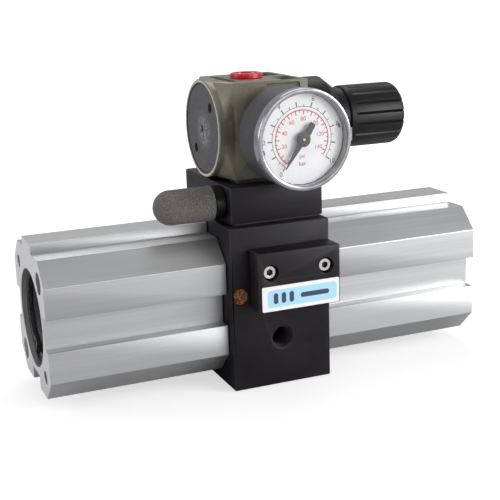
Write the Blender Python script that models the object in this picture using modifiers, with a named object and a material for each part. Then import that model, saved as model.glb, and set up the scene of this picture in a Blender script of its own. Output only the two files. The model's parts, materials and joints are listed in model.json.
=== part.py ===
"""Twin-piston air pressure booster with a filter-less regulator and a pressure gauge.

Two extruded barrels lie along X on either side of a centre block, which stands on its base at Z = 0.
The front, with the valve cover and the gauge, faces -Y. All dimensions below are in millimetres,
and the helper functions turn them into metres. Run it with blender --background --python part.py.
"""
import math

import bmesh
import bpy
from mathutils import Euler, Matrix, Vector

MM = 0.001
GAP = 0.3                      # air between pieces that touch on the real object
FINE_GAP = 0.1                 # air round a close fit, and behind a label

# Centre block and barrels
AXIS_HEIGHT = 33.5             # barrel axis above the base
BLOCK_SIZE = (43.0, 66.0, 67.5)
BLOCK_SIDE = BLOCK_SIZE[0] / 2
BLOCK_FRONT = -BLOCK_SIZE[1] / 2
BLOCK_TOP = BLOCK_SIZE[2]
EDGE_BREAK = 0.5
SPIGOT_LENGTH = 5.0
SPIGOT_RADIUS = 19.7
SPIGOT_FACE = BLOCK_SIDE + SPIGOT_LENGTH
BORE_RADIUS = 20.0
BARREL_HALF = 28.0
BARREL_CHAMFER = 9.0
BARREL_END = 95.0
BARREL_LENGTH = BARREL_END - BLOCK_SIDE - GAP
RECESS_HALF = 6.5
RECESS_DEPTH = 5.3
RIB_HALF = 8.0
RIB_HEIGHT = 4.0

# Tie bolts, M5, in two of the four corner holes of each barrel
BOLT_OFFSET = 19.0
BOLT_HOLE_RADIUS = 2.75
BOLT_COUNTERBORE_RADIUS = 4.5
BOLT_COUNTERBORE_DEPTH = 12.0
TAPPED_DEPTH = 12.0

# End caps, retaining rings and O-rings
RING_RECESS = 2.3
RING_THICKNESS = 1.75
RING_GROOVE_WIDTH = 1.85
RING_GROOVE_RADIUS = 21.25
CAP_RADIUS = 19.7
CAP_THICKNESS = 8.0
CAP_FACE = BARREL_END - RING_RECESS - RING_GROOVE_WIDTH - FINE_GAP
ORING_CENTRE_RADIUS = 19.02
ORING_SECTION = 0.82
ORING_GROOVE_RADIUS = 18.1
ORING_GROOVE_WIDTH = 2.6

# Pistons and rod
PISTON_CENTRE = (SPIGOT_FACE + CAP_FACE - CAP_THICKNESS) / 2
PISTON_RADIUS = 19.6
PISTON_THICKNESS = 14.0
ROD_RADIUS = 5.0
ROD_SOCKET_DEPTH = 2.0
ROD_END = PISTON_CENTRE - PISTON_THICKNESS / 2 + ROD_SOCKET_DEPTH - GAP
SEAL_GROOVE_RADIUS = 16.2
SEAL_GROOVE_WIDTH = 4.2
BUSH_RADIUS = 7.0
ROD_SEAL_RADIUS = 8.0
ROD_SEAL_POCKET = 4.0

# Changeover spool, parallel to the rod and in front of it
SPOOL_Y = -12.9
SPOOL_RADIUS = 2.5
SPOOL_HALF_LENGTH = SPIGOT_FACE + 1.7
SLEEVE_RADIUS = 4.2
SLEEVE_HALF_LENGTH = 25.5

# Valve cover on the front of the block, its screws and its label
COVER_SIZE = (35.4, 10.0, 24.0)
COVER_CENTRE_X = 3.5
COVER_BOTTOM = 34.9
COVER_BACK = BLOCK_FRONT - GAP
COVER_FRONT = COVER_BACK - COVER_SIZE[1]
COVER_SCREW_XS = (-9.0, 15.0)
COVER_SCREW_HEIGHT = 50.8
COVER_SCREW_POCKET = 4.5
LABEL_SIZE = (33.6, 0.3, 10.1)
LABEL_CENTRE = (3.65, COVER_FRONT - FINE_GAP - LABEL_SIZE[1] / 2, 40.4)

# Ports in the block
PORT_RADIUS = 4.3
PORT_HEIGHT = 20.0
PORT_DEPTH = 14.0
FILTER_X = -17.8
FILTER_HEIGHT = 39.5
FILTER_RADIUS = 3.4
FOOT_HOLE_Y = 25.0
FOOT_HOLE_DEPTH = 9.0

# Manifold on top of the block
MANIFOLD_SIZE = (40.0, 52.5, 14.6)
MANIFOLD_CENTRE = (1.0, -2.25)
MANIFOLD_BOTTOM = BLOCK_TOP + 0.7
MANIFOLD_TOP = MANIFOLD_BOTTOM + MANIFOLD_SIZE[2]
MANIFOLD_LEFT = MANIFOLD_CENTRE[0] - MANIFOLD_SIZE[0] / 2
MANIFOLD_SCREWS = ((15.0, -19.0), (-13.0, 15.0))
MANIFOLD_SCREW_POCKET = 4.6
CHECK_VALVE_XS = (-12.5, 12.5)
CHECK_VALVE_YS = (4.0, -6.0)
CHECK_POCKET_RADIUS = 4.2
CHECK_POCKET_DEPTH = 11.0

FEED_Y = -9.0                  # drilling that feeds the changeover valve
EXHAUST_X = -5.0               # drilling that vents it to the silencer
EXHAUST_Y = -16.0

# Silencer, screwed into the manifold's left side
SILENCER_Y = -18.0
SILENCER_HEIGHT = 75.7
SILENCER_RADIUS = 7.1
SILENCER_LENGTH = 24.0
SILENCER_COLLAR_LENGTH = 4.0
SILENCER_THREAD_RADIUS = 4.2

# Regulator: its axis runs along X above the manifold
REGULATOR_Y = -2.3
REGULATOR_BOTTOM = MANIFOLD_TOP + 1.5
REGULATOR_HALF = 19.2
REGULATOR_HEIGHT = REGULATOR_BOTTOM + REGULATOR_HALF
REGULATOR_TOP = REGULATOR_BOTTOM + 2 * REGULATOR_HALF
REGULATOR_FRONT = REGULATOR_Y - REGULATOR_HALF
COLLAR_END = -20.2
COLLAR_RADIUS = 20.0
GUSSET_START = -18.2
SQUARE_START = -13.2
SQUARE_END = 18.7
END_PLUG_RADIUS = 18.4
END_PLUG_THICKNESS = 4.6
SUPPLY_PORT_RADIUS = 5.9
POPPET_SEAT = -3.0
BONNET_START = 20.2
BONNET_RADIUS = 18.0
BONNET_CONE_START = 32.0
BONNET_CONE_END = 38.2
BONNET_END = 41.6
CAVITY_END = 36.6
SCREW_THREAD = 3.7
NUT_CENTRE = 31.6
NUT_THICKNESS = 3.6
KNOB_RADIUS = 13.25
KNOB_START = 41.9
KNOB_END = 68.1
KNOB_FLUTES = 18

# Pressure gauge on the regulator's front
GAUGE_X = 3.5
GAUGE_HEIGHT = 102.8
GAUGE_RADIUS = 19.5
GAUGE_FRONT = -50.5
CASE_RADIUS = 19.1
CASE_BACK = -28.7
CASE_WALL = 1.2
WINDOW_SKIRT = 4.5
DIAL_FRONT = -47.1
DIAL_RADIUS = 17.4
POINTER_BACK = -48.4
POINTER_THICKNESS = 0.5
POINTER_ZERO_DEG = 235.0       # direction of the tip at zero, anticlockwise from +X seen from the front

# Socket head screws: thread radius with its clearance, head radius, head height, hexagon radius
SCREW_SIZES = {
    "M3": (1.35, 2.84, 3.0, 1.45),
    "M4": (1.9, 3.5, 4.0, 1.75),
    "M5": (2.4, 4.25, 5.0, 2.3),
    "M6": (2.85, 5.0, 6.0, 2.9),
}

ROUND_STEPS = 32               # facets of the large round pieces that show
INNER_STEPS = 20               # and of the ones inside a bore
SMALL_STEPS = 12               # and of screws and drillings
SHARP_ANGLE = 35.0
WELD_DISTANCE = 0.00001        # metres
OVERCUT = 1.0                  # how far a cutter starts outside the face it cuts

# Rotations that lay an object's local Z along a world axis and keep its local Y upright
ALONG = {
    "+X": (90, 0, 90),
    "-X": (90, 0, -90),
    "+Y": (90, 0, 180),
    "-Y": (90, 0, 0),
    "+Z": (0, 0, 0),
    "-Z": (180, 0, 0),
}
DIRECTIONS = {"+X": (1, 0, 0), "-X": (-1, 0, 0), "+Y": (0, 1, 0), "-Y": (0, -1, 0), "+Z": (0, 0, 1),
              "-Z": (0, 0, -1)}


def clear_scene():
    """Remove every object, so that the script can be run again in one session."""
    for item in list(bpy.data.objects):
        bpy.data.objects.remove(item, do_unlink=True)


def make_collection(name):
    """Make a collection under the scene's own."""
    collection = bpy.data.collections.new(name)
    bpy.context.scene.collection.children.link(collection)
    return collection


def make_material(name, colour, roughness, metallic=0.0, alpha=1.0):
    """Make a Principled material."""
    material = bpy.data.materials.new(name)
    material.use_nodes = True
    shader = material.node_tree.nodes["Principled BSDF"]
    shader.inputs["Base Color"].default_value = (*colour, 1.0)
    shader.inputs["Roughness"].default_value = roughness
    shader.inputs["Metallic"].default_value = metallic
    shader.inputs["Alpha"].default_value = alpha
    return material


clear_scene()
PARTS = make_collection("air_pressure_booster")
CUTTERS = make_collection("cutters")
SILVER = make_material("silver_anodised", (0.62, 0.63, 0.64), 0.38, 1.0)
BLACK = make_material("black_anodised", (0.018, 0.017, 0.018), 0.42, 0.6)
STEEL = make_material("steel", (0.60, 0.59, 0.57), 0.25, 1.0)
SPRING_STEEL = make_material("spring_steel", (0.16, 0.15, 0.15), 0.35, 1.0)
RUBBER = make_material("rubber", (0.015, 0.015, 0.015), 0.65)
BEARING = make_material("bearing_plastic", (0.20, 0.22, 0.24), 0.50)
BRONZE = make_material("sintered_bronze", (0.42, 0.20, 0.08), 0.70, 0.8)
SILENCER_GREY = make_material("silencer_grain", (0.17, 0.155, 0.14), 0.90)
OLIVE = make_material("olive_paint", (0.23, 0.205, 0.145), 0.45)
PLUG_GREY = make_material("plug_plastic", (0.13, 0.125, 0.13), 0.60)
BLACK_PLASTIC = make_material("black_plastic", (0.014, 0.013, 0.015), 0.40)
RED = make_material("red_plastic", (0.55, 0.015, 0.02), 0.40)
CASE_GREY = make_material("gauge_case_plastic", (0.045, 0.045, 0.05), 0.45)
CLEAR = make_material("clear_plastic", (0.85, 0.86, 0.88), 0.06, 0.0, 0.35)
DIAL_WHITE = make_material("dial_white", (0.80, 0.80, 0.82), 0.50)
POINTER_BLACK = make_material("pointer_black", (0.03, 0.03, 0.035), 0.45)
BRASS = make_material("brass", (0.62, 0.42, 0.14), 0.30, 1.0)
LABEL = make_material("label_film", (0.55, 0.74, 0.85), 0.35)


def place(item, point, along="+Z", spin=0.0):
    """Put an object at a point, with its local Z along a world axis and a spin in degrees about it."""
    lie = Euler([math.radians(angle) for angle in ALONG[along]]).to_matrix()
    item.rotation_euler = (lie @ Matrix.Rotation(math.radians(spin), 3, "Z")).to_euler()
    item.location = [value * MM for value in point]


def shade(mesh):
    """Shade a mesh smooth between its sharp edges."""
    mesh.shade_smooth()
    mesh.set_sharp_from_angle(angle=math.radians(SHARP_ANGLE))


def new_object(name, data, material):
    """Link an object as a part, or as a cutter when it has no material."""
    item = bpy.data.objects.new(name, data)
    if material is None:
        CUTTERS.objects.link(item)
        item.hide_render = True
        item.display_type = "WIRE"
    else:
        PARTS.objects.link(item)
        data.materials.append(material)
    return item


def freeze(item):
    """Turn an object's evaluated shape into a plain mesh with its caps and seams welded."""
    evaluated = item.evaluated_get(bpy.context.evaluated_depsgraph_get())
    mesh = bpy.data.meshes.new_from_object(evaluated)
    mesh.name = item.name
    weld = bmesh.new()
    weld.from_mesh(mesh)
    bmesh.ops.remove_doubles(weld, verts=weld.verts, dist=WELD_DISTANCE)
    weld.to_mesh(mesh)
    weld.free()
    return mesh


def box(name, size, centre, material=None, bevel=0.0):
    """Make a box from its size and centre, with its edges broken by a bevel."""
    mesh = bpy.data.meshes.new(name)
    build = bmesh.new()
    bmesh.ops.create_cube(build, size=1.0)
    bmesh.ops.scale(build, vec=[length * MM for length in size], verts=build.verts)
    build.to_mesh(mesh)
    build.free()
    item = new_object(name, mesh, material)
    place(item, centre)
    if bevel:
        edge = item.modifiers.new("edge_break", "BEVEL")
        edge.width = bevel * MM
        edge.segments = 2
    return item


def cylinder(name, radius, length, start, along, material=None, steps=SMALL_STEPS, spin=0.0):
    """Make a cylinder, or a hexagon bar with six steps, that starts at a point and runs along an axis."""
    mesh = bpy.data.meshes.new(name)
    build = bmesh.new()
    lift = Matrix.Translation((0, 0, length * MM / 2))
    bmesh.ops.create_cone(build, cap_ends=True, segments=steps, radius1=radius * MM,
                          radius2=radius * MM, depth=length * MM, matrix=lift)
    build.to_mesh(mesh)
    build.free()
    item = new_object(name, mesh, material)
    place(item, start, along, spin)
    if steps > 6:
        shade(mesh)
    return item


def turned(name, profile, origin, along, material=None, steps=ROUND_STEPS, closed=False):
    """Turn a profile of (radius, height) points, listed down its outer side, about an axis."""
    mesh = bpy.data.meshes.new(name)
    points = [(radius * MM, 0.0, height * MM) for radius, height in profile]
    edges = [(index, index + 1) for index in range(len(points) - 1)]
    if closed:
        edges.append((len(points) - 1, 0))
    mesh.from_pydata(points, edges, [])
    item = new_object(name, mesh, material)
    screw = item.modifiers.new("turn", "SCREW")
    screw.steps = steps
    screw.render_steps = steps
    screw.use_merge_vertices = True
    screw.merge_threshold = WELD_DISTANCE
    item.data = freeze(item)
    item.modifiers.clear()
    shade(item.data)
    place(item, origin, along)
    return item


def flat(name, outlines, thickness, centre, along, material=None, spin=0.0):
    """Make a flat piece of a given thickness from an outline and any hole outlines."""
    curve = bpy.data.curves.new(name + "_outline", "CURVE")
    curve.dimensions = "2D"
    curve.fill_mode = "BOTH"
    curve.extrude = thickness * MM / 2
    for outline in outlines:
        spline = curve.splines.new("POLY")
        spline.points.add(len(outline) - 1)
        for point, (across, up) in zip(spline.points, outline):
            point.co = (across * MM, up * MM, 0.0, 1.0)
        spline.use_cyclic_u = True
    draft = bpy.data.objects.new(name + "_draft", curve)
    CUTTERS.objects.link(draft)
    mesh = freeze(draft)
    bpy.data.objects.remove(draft)
    mesh.materials.clear()
    item = new_object(name, mesh, material)
    shade(mesh)
    place(item, centre, along, spin)
    return item


def wire(name, points, radius, origin, along, material):
    """Make a round wire through a list of points."""
    curve = bpy.data.curves.new(name, "CURVE")
    curve.dimensions = "3D"
    curve.bevel_depth = radius * MM
    curve.bevel_resolution = 1
    curve.use_fill_caps = True
    spline = curve.splines.new("POLY")
    spline.points.add(len(points) - 1)
    for point, place_at in zip(spline.points, points):
        point.co = (*[value * MM for value in place_at], 1.0)
    item = new_object(name, curve, material)
    place(item, origin, along)
    return item


def boolean(target, tools, operation):
    """Cut tools from a target, or join them to it."""
    for tool in tools:
        change = target.modifiers.new(tool.name, "BOOLEAN")
        change.operation = operation
        change.object = tool


def cut(target, *tools):
    """Cut tools from a target."""
    boolean(target, tools, "DIFFERENCE")


def join(target, *tools):
    """Join tools to a target."""
    boolean(target, tools, "UNION")


def ring_points(radius, steps, centre=(0.0, 0.0)):
    """Points of a circle."""
    return [(centre[0] + radius * math.cos(2 * math.pi * step / steps),
             centre[1] + radius * math.sin(2 * math.pi * step / steps)) for step in range(steps)]


def arc_points(radius, first, last, steps):
    """Points of an arc between two angles in degrees, both ends included."""
    angles = [math.radians(first + (last - first) * step / steps) for step in range(steps + 1)]
    return [(radius * math.cos(angle), radius * math.sin(angle)) for angle in angles]


def rounded_rectangle(width, height, radius, steps=4):
    """Points of a rectangle with round corners, about its centre."""
    points = []
    corners = ((1, 1, 0), (-1, 1, 90), (-1, -1, 180), (1, -1, 270))
    for side, level, first in corners:
        for across, up in arc_points(radius, first, first + 90, steps):
            points.append((side * (width / 2 - radius) + across, level * (height / 2 - radius) + up))
    return points


def coil_points(radius, length, turns, steps):
    """Points of a spring's coil, which rises from zero to a length."""
    points = []
    for step in range(int(turns * steps) + 1):
        angle = 2 * math.pi * step / steps
        rise = length * step / (turns * steps)
        points.append((radius * math.cos(angle), radius * math.sin(angle), rise))
    return points


def oring(name, x, along):
    """Make an O-ring in a groove round the barrel axis."""
    section = ring_points(ORING_SECTION, 5)
    profile = [(ORING_CENTRE_RADIUS + across, up) for across, up in reversed(section)]
    return turned(name, profile, (x, 0.0, AXIS_HEIGHT), along, RUBBER, INNER_STEPS, closed=True)


def ahead(point, along, distance):
    """The point a distance further along an axis."""
    return [value + step * distance for value, step in zip(point, DIRECTIONS[along])]


def socket_screw(name, size, length, seat, along):
    """Make a socket head screw whose head sits on a seat point and faces along an axis."""
    thread, head, height, hexagon = SCREW_SIZES[size]
    bevel = 0.12 * head
    profile = [(0, height), (head - bevel, height), (head, height - bevel), (head, 0), (thread, 0),
               (thread, -length), (0, -length)]
    screw = turned(name, profile, seat, along, STEEL, SMALL_STEPS)
    cut(screw, cylinder(name + "_socket", hexagon, height, ahead(seat, along, height / 2), along, steps=6))
    return screw


def hole(name, radius, depth, mouth, along, steps=SMALL_STEPS):
    """Make a cutter for a hole that starts just outside a mouth point and runs along an axis."""
    return cylinder(name, radius, depth + OVERCUT, ahead(mouth, along, -OVERCUT), along, steps=steps)


# Centre block

def make_spigot(side, name):
    """Make the boss on one side of the block that enters a barrel, with its O-ring groove."""
    groove_start = BLOCK_SIDE + 1.5
    profile = [(0, SPIGOT_FACE), (SPIGOT_RADIUS, SPIGOT_FACE),
               (SPIGOT_RADIUS, groove_start + ORING_GROOVE_WIDTH),
               (ORING_GROOVE_RADIUS, groove_start + ORING_GROOVE_WIDTH),
               (ORING_GROOVE_RADIUS, groove_start), (SPIGOT_RADIUS, groove_start),
               (SPIGOT_RADIUS, BLOCK_SIDE - 2), (0, BLOCK_SIDE - 2)]
    oring("barrel_oring_" + name, side * (groove_start + ORING_GROOVE_WIDTH / 2), "+X")
    return turned("spigot_" + name, profile, (0, 0, AXIS_HEIGHT), "+X" if side > 0 else "-X",
                  steps=INNER_STEPS)


def make_centre_block():
    """Make the centre block with its spigots, bores, ports and tapped holes."""
    block = box("centre_block", BLOCK_SIZE, (0, 0, BLOCK_TOP / 2), BLACK, EDGE_BREAK)
    join(block, make_spigot(-1, "left"), make_spigot(1, "right"))
    half = SPIGOT_FACE + 2
    cut(block,
        cylinder("bush_bore", BUSH_RADIUS + 0.15, 2 * half, (-half, 0, AXIS_HEIGHT), "+X", steps=16),
        cylinder("sleeve_bore", SLEEVE_RADIUS + 0.15, 2 * half, (-half, SPOOL_Y, AXIS_HEIGHT), "+X"),
        hole("rod_seal_pocket_left", ROD_SEAL_RADIUS + 0.15, ROD_SEAL_POCKET,
             (-SPIGOT_FACE, 0, AXIS_HEIGHT), "+X", 16),
        hole("rod_seal_pocket_right", ROD_SEAL_RADIUS + 0.15, ROD_SEAL_POCKET,
             (SPIGOT_FACE, 0, AXIS_HEIGHT), "-X", 16))
    mouth = [(PORT_RADIUS + 0.8, -BLOCK_FRONT + 0.2), (PORT_RADIUS + 0.8, -BLOCK_FRONT),
             (PORT_RADIUS, -BLOCK_FRONT - 0.8), (PORT_RADIUS, -BLOCK_FRONT - PORT_DEPTH),
             (0, -BLOCK_FRONT - PORT_DEPTH - 1.5)]
    cut(block,
        turned("front_port", [(0, -BLOCK_FRONT + 0.2)] + mouth, (0, 0, PORT_HEIGHT), "-Y", steps=20),
        hole("filter_seat", FILTER_RADIUS + 0.15, 3.4, (FILTER_X, BLOCK_FRONT, FILTER_HEIGHT), "+Y"))
    for index, x in enumerate(COVER_SCREW_XS):
        cut(block, hole(f"cover_tapping_{index}", 1.5, 9.0, (x, BLOCK_FRONT, COVER_SCREW_HEIGHT), "+Y"))
    for index, (x, y) in enumerate(MANIFOLD_SCREWS):
        cut(block, hole(f"manifold_tapping_{index}", 2.1, 10.0, (x, y, BLOCK_TOP), "-Z"))
    for index, y in enumerate((-FOOT_HOLE_Y, FOOT_HOLE_Y)):
        cut(block, hole(f"foot_tapping_{index}", 2.1, FOOT_HOLE_DEPTH, (0, y, 0), "+Z"))
    cut(block,
        hole("feed_drilling", 2.2, BLOCK_TOP - AXIS_HEIGHT - 2.5, (0, FEED_Y, BLOCK_TOP), "-Z"),
        hole("exhaust_drilling", 2.0, BLOCK_TOP - AXIS_HEIGHT, (EXHAUST_X, EXHAUST_Y, BLOCK_TOP), "-Z"))
    for side, name in ((-1, "left"), (1, "right")):
        for y, level in bolt_places(side):
            mouth = (side * BLOCK_SIDE, y, AXIS_HEIGHT + level)
            tapping = hole(f"bolt_tapping_{name}", 2.6, TAPPED_DEPTH, mouth, "+X" if side < 0 else "-X")
            cut(block, tapping)


def bolt_places(side):
    """The two corner holes of a barrel that hold tie bolts, as offsets across and up."""
    return ((side * BOLT_OFFSET, BOLT_OFFSET), (-side * BOLT_OFFSET, -BOLT_OFFSET))


def make_check_valves():
    """Make the four check valve poppets in pockets in the block's top."""
    block = bpy.data.objects["centre_block"]
    for kind, y in zip(("inlet", "outlet"), CHECK_VALVE_YS):
        for side, x in zip(("left", "right"), CHECK_VALVE_XS):
            name = f"{kind}_check_valve_{side}"
            floor = BLOCK_TOP - CHECK_POCKET_DEPTH
            mouth = (x, y, BLOCK_TOP)
            cut(block,
                hole(name + "_pocket", CHECK_POCKET_RADIUS, CHECK_POCKET_DEPTH, mouth, "-Z"),
                hole(name + "_seat", 1.8, CHECK_POCKET_DEPTH + 5, mouth, "-Z"))
            profile = [(0, 9.5), (1.5, 9.5), (1.5, 4.3), (3.7, 4.3), (3.7, 1.5), (2.2, 0), (0, 0)]
            turned(name, profile, (x, y, floor + GAP), "+Z", BEARING, SMALL_STEPS)


# Barrels and end caps

def barrel_outline():
    """Outline of the extrusion: chamfered square, three recesses and a rib on top."""
    corner = BARREL_HALF - BARREL_CHAMFER
    recess = BARREL_HALF - RECESS_DEPTH
    rib = BARREL_HALF + RIB_HEIGHT
    points = []
    for quarter in range(4):
        half, level = (RIB_HALF, rib) if quarter == 0 else (RECESS_HALF, recess)
        side = [(corner, BARREL_HALF), (half, BARREL_HALF), (half, level),
                (-half, level), (-half, BARREL_HALF), (-corner, BARREL_HALF)]
        turn = Matrix.Rotation(math.pi / 2 * quarter, 2)
        points += [tuple(turn @ Vector(point)) for point in side]
    return points


def make_barrel(side, name):
    """Make one barrel with its bore, corner holes, counterbores and ring groove."""
    outlines = [barrel_outline(), ring_points(BORE_RADIUS, ROUND_STEPS)]
    for across in (-BOLT_OFFSET, BOLT_OFFSET):
        for up in (-BOLT_OFFSET, BOLT_OFFSET):
            outlines.append(ring_points(BOLT_HOLE_RADIUS, SMALL_STEPS, (across, up)))
    centre = side * (BARREL_END - BARREL_LENGTH / 2)
    along = "+X" if side > 0 else "-X"
    barrel = flat("barrel_" + name, outlines, BARREL_LENGTH, (centre, 0, AXIS_HEIGHT), along, SILVER)
    groove_end = BARREL_END - RING_RECESS
    groove = [(RING_GROOVE_RADIUS, groove_end), (RING_GROOVE_RADIUS, groove_end - RING_GROOVE_WIDTH),
              (BORE_RADIUS - 1, groove_end - RING_GROOVE_WIDTH), (BORE_RADIUS - 1, groove_end)]
    cut(barrel, turned("ring_groove_" + name, groove, (0, 0, AXIS_HEIGHT), along, closed=True))
    for index, (y, level) in enumerate(bolt_places(side)):
        mouth = (side * BARREL_END, y, AXIS_HEIGHT + level)
        inward = "-X" if side > 0 else "+X"
        cut(barrel, hole(f"counterbore_{name}_{index}", BOLT_COUNTERBORE_RADIUS, BOLT_COUNTERBORE_DEPTH,
                         mouth, inward))
        seat = (side * (BARREL_END - BOLT_COUNTERBORE_DEPTH + FINE_GAP), y, AXIS_HEIGHT + level)
        socket_screw(f"tie_bolt_{name}_{index + 1}", "M5", 72.0, seat, along)


def make_end_cap(side, name):
    """Make one end cap with its O-ring."""
    along = "+X" if side > 0 else "-X"
    inner = CAP_FACE - CAP_THICKNESS
    groove = inner + 2.7
    profile = [(0, CAP_FACE - 1), (14, CAP_FACE - 1), (14.6, CAP_FACE), (CAP_RADIUS, CAP_FACE),
               (CAP_RADIUS, groove + ORING_GROOVE_WIDTH), (ORING_GROOVE_RADIUS, groove + ORING_GROOVE_WIDTH),
               (ORING_GROOVE_RADIUS, groove), (CAP_RADIUS, groove), (CAP_RADIUS, inner), (0, inner)]
    cap = turned("end_cap_" + name, profile, (0, 0, AXIS_HEIGHT), along, BLACK, INNER_STEPS)
    cut(cap, hole("extractor_" + name, 2.5, 5.0, (side * CAP_FACE, 0, AXIS_HEIGHT),
                  "-X" if side > 0 else "+X"))
    oring("end_cap_oring_" + name, side * (groove + ORING_GROOVE_WIDTH / 2), along)


def make_retaining_ring(side, name):
    """Make the spring ring that holds an end cap, with its two lugs for pliers."""
    outer = RING_GROOVE_RADIUS - 0.2
    inner = BORE_RADIUS - 2.0
    lug_inner = BORE_RADIUS - 5.0
    opening = 12.0
    lug = opening + 16.0
    outline = arc_points(outer, opening, 360 - opening, 28)
    outline += arc_points(lug_inner, 360 - opening, 360 - lug, 3)
    outline += arc_points(inner, 360 - lug - 3, lug + 3, 24)
    outline += arc_points(lug_inner, lug, opening, 3)
    holes = []
    for angle in ((opening + lug) / 2, 360 - (opening + lug) / 2):
        centre = arc_points(lug_inner + 2.3, angle, angle, 1)[0]
        holes.append(ring_points(1.2, 8, centre))
    middle = BARREL_END - RING_RECESS - RING_GROOVE_WIDTH / 2
    flat("retaining_ring_" + name, [outline] + holes, RING_THICKNESS, (side * middle, 0, AXIS_HEIGHT),
         "+X" if side > 0 else "-X", SPRING_STEEL, spin=-105)


# Pistons, rod and spool

def make_piston(side, name):
    """Make one piston with its seal and the screw that holds it on the rod."""
    along = "+X" if side > 0 else "-X"
    outer = PISTON_CENTRE + PISTON_THICKNESS / 2
    inner = PISTON_CENTRE - PISTON_THICKNESS / 2
    seal_outer = PISTON_CENTRE + SEAL_GROOVE_WIDTH / 2
    seal_inner = PISTON_CENTRE - SEAL_GROOVE_WIDTH / 2
    bore = 3.1
    pocket = 5.4
    profile = [(pocket, outer), (PISTON_RADIUS, outer), (PISTON_RADIUS, seal_outer),
               (SEAL_GROOVE_RADIUS, seal_outer), (SEAL_GROOVE_RADIUS, seal_inner),
               (PISTON_RADIUS, seal_inner), (PISTON_RADIUS, inner), (ROD_RADIUS + 0.15, inner),
               (ROD_RADIUS + 0.15, inner + ROD_SOCKET_DEPTH), (bore, inner + ROD_SOCKET_DEPTH),
               (bore, outer - 6.5), (pocket, outer - 6.5)]
    origin = (0, 0, AXIS_HEIGHT)
    turned("piston_" + name, profile, origin, along, BEARING, INNER_STEPS, closed=True)
    lip = 1.2
    seal = [(PISTON_RADIUS + 0.25, seal_outer - 0.2), (PISTON_RADIUS + 0.25, seal_inner + 0.2),
            (SEAL_GROOVE_RADIUS + 0.2, seal_inner + 0.2), (SEAL_GROOVE_RADIUS + 0.2, seal_outer - 0.2),
            (SEAL_GROOVE_RADIUS + lip, seal_outer - 0.2), (SEAL_GROOVE_RADIUS + lip + 0.6, seal_outer - 1.8),
            (PISTON_RADIUS - lip, seal_outer - 0.2)]
    turned("piston_seal_" + name, seal, origin, along, RUBBER, INNER_STEPS, closed=True)
    seat = (side * (outer - 6.5 + FINE_GAP), 0, AXIS_HEIGHT)
    socket_screw("piston_screw_" + name, "M6", 18.0, seat, along)


def make_rod():
    """Make the rod that ties the pistons together, its bush and its seals."""
    origin = (0, 0, AXIS_HEIGHT)
    tapped = 3.0
    depth = 16.0
    profile = [(0, ROD_END - depth), (tapped, ROD_END - depth), (tapped, ROD_END), (ROD_RADIUS, ROD_END)]
    mirrored = [(radius, -height) for radius, height in reversed(profile)]
    turned("piston_rod", profile + mirrored, origin, "+X", STEEL, 16)
    bush_end = SPIGOT_FACE - ROD_SEAL_POCKET - GAP
    bush = [(BUSH_RADIUS, bush_end), (BUSH_RADIUS, -bush_end),
            (ROD_RADIUS + FINE_GAP, -bush_end), (ROD_RADIUS + FINE_GAP, bush_end)]
    turned("rod_bush", bush, origin, "+X", BEARING, 16, closed=True)
    for name, along in (("left", "-X"), ("right", "+X")):
        inner = SPIGOT_FACE - ROD_SEAL_POCKET + 0.1
        outer = inner + 3.5
        seal = [(ROD_SEAL_RADIUS, outer), (ROD_SEAL_RADIUS, inner), (ROD_RADIUS + 0.15, inner),
                (ROD_RADIUS + 0.15, outer), (ROD_RADIUS + 1.0, outer), (ROD_RADIUS + 1.5, outer - 1.6),
                (ROD_SEAL_RADIUS - 1.0, outer)]
        turned("rod_seal_" + name, seal, origin, along, RUBBER, 16, closed=True)


def make_spool():
    """Make the changeover spool, whose ends the pistons push, and its sleeve."""
    origin = (0, SPOOL_Y, AXIS_HEIGHT)
    waist = 1.5
    pin = 1.9
    half = [(0, SPOOL_HALF_LENGTH), (pin, SPOOL_HALF_LENGTH), (pin, 23.0), (SPOOL_RADIUS, 23.0),
            (SPOOL_RADIUS, 16.0), (waist, 15.0), (waist, 8.0), (SPOOL_RADIUS, 7.0)]
    mirrored = [(radius, -height) for radius, height in reversed(half)]
    turned("changeover_spool", half + mirrored, origin, "+X", STEEL, SMALL_STEPS)
    sleeve = [(SLEEVE_RADIUS, SLEEVE_HALF_LENGTH), (SLEEVE_RADIUS, -SLEEVE_HALF_LENGTH),
              (SPOOL_RADIUS + 0.15, -SLEEVE_HALF_LENGTH), (SPOOL_RADIUS + 0.15, SLEEVE_HALF_LENGTH)]
    item = turned("spool_sleeve", sleeve, origin, "+X", BRASS, SMALL_STEPS, closed=True)
    for index, x in enumerate((-11.5, 0.0, 11.5)):
        cut(item, hole(f"sleeve_port_{index}", 1.2, 12.0, (x, SPOOL_Y, AXIS_HEIGHT - 6), "+Z", 8))


# Front of the block

def make_valve_cover():
    """Make the cover of the changeover valve with its screws, and the label on it."""
    centre = (COVER_CENTRE_X, COVER_BACK - COVER_SIZE[1] / 2, COVER_BOTTOM + COVER_SIZE[2] / 2)
    cover = box("valve_cover", COVER_SIZE, centre, BLACK, EDGE_BREAK)
    for index, x in enumerate(COVER_SCREW_XS):
        face = (x, COVER_FRONT, COVER_SCREW_HEIGHT)
        cut(cover,
            hole(f"cover_pocket_{index}", 3.3, COVER_SCREW_POCKET, face, "+Y", 20),
            hole(f"cover_hole_{index}", 1.7, COVER_SIZE[1] + 1, face, "+Y"))
        seat = (x, COVER_FRONT + COVER_SCREW_POCKET - FINE_GAP, COVER_SCREW_HEIGHT)
        socket_screw(f"valve_cover_screw_{index + 1}", "M3", 12.0, seat, "-Y")
    cut(cover, box("cover_passage", (16, 3, 6), (COVER_CENTRE_X, COVER_BACK, 42)))
    outline = rounded_rectangle(LABEL_SIZE[0], LABEL_SIZE[2], 0.6)
    flat("name_label", [outline], LABEL_SIZE[1], LABEL_CENTRE, "-Y", LABEL)


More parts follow.
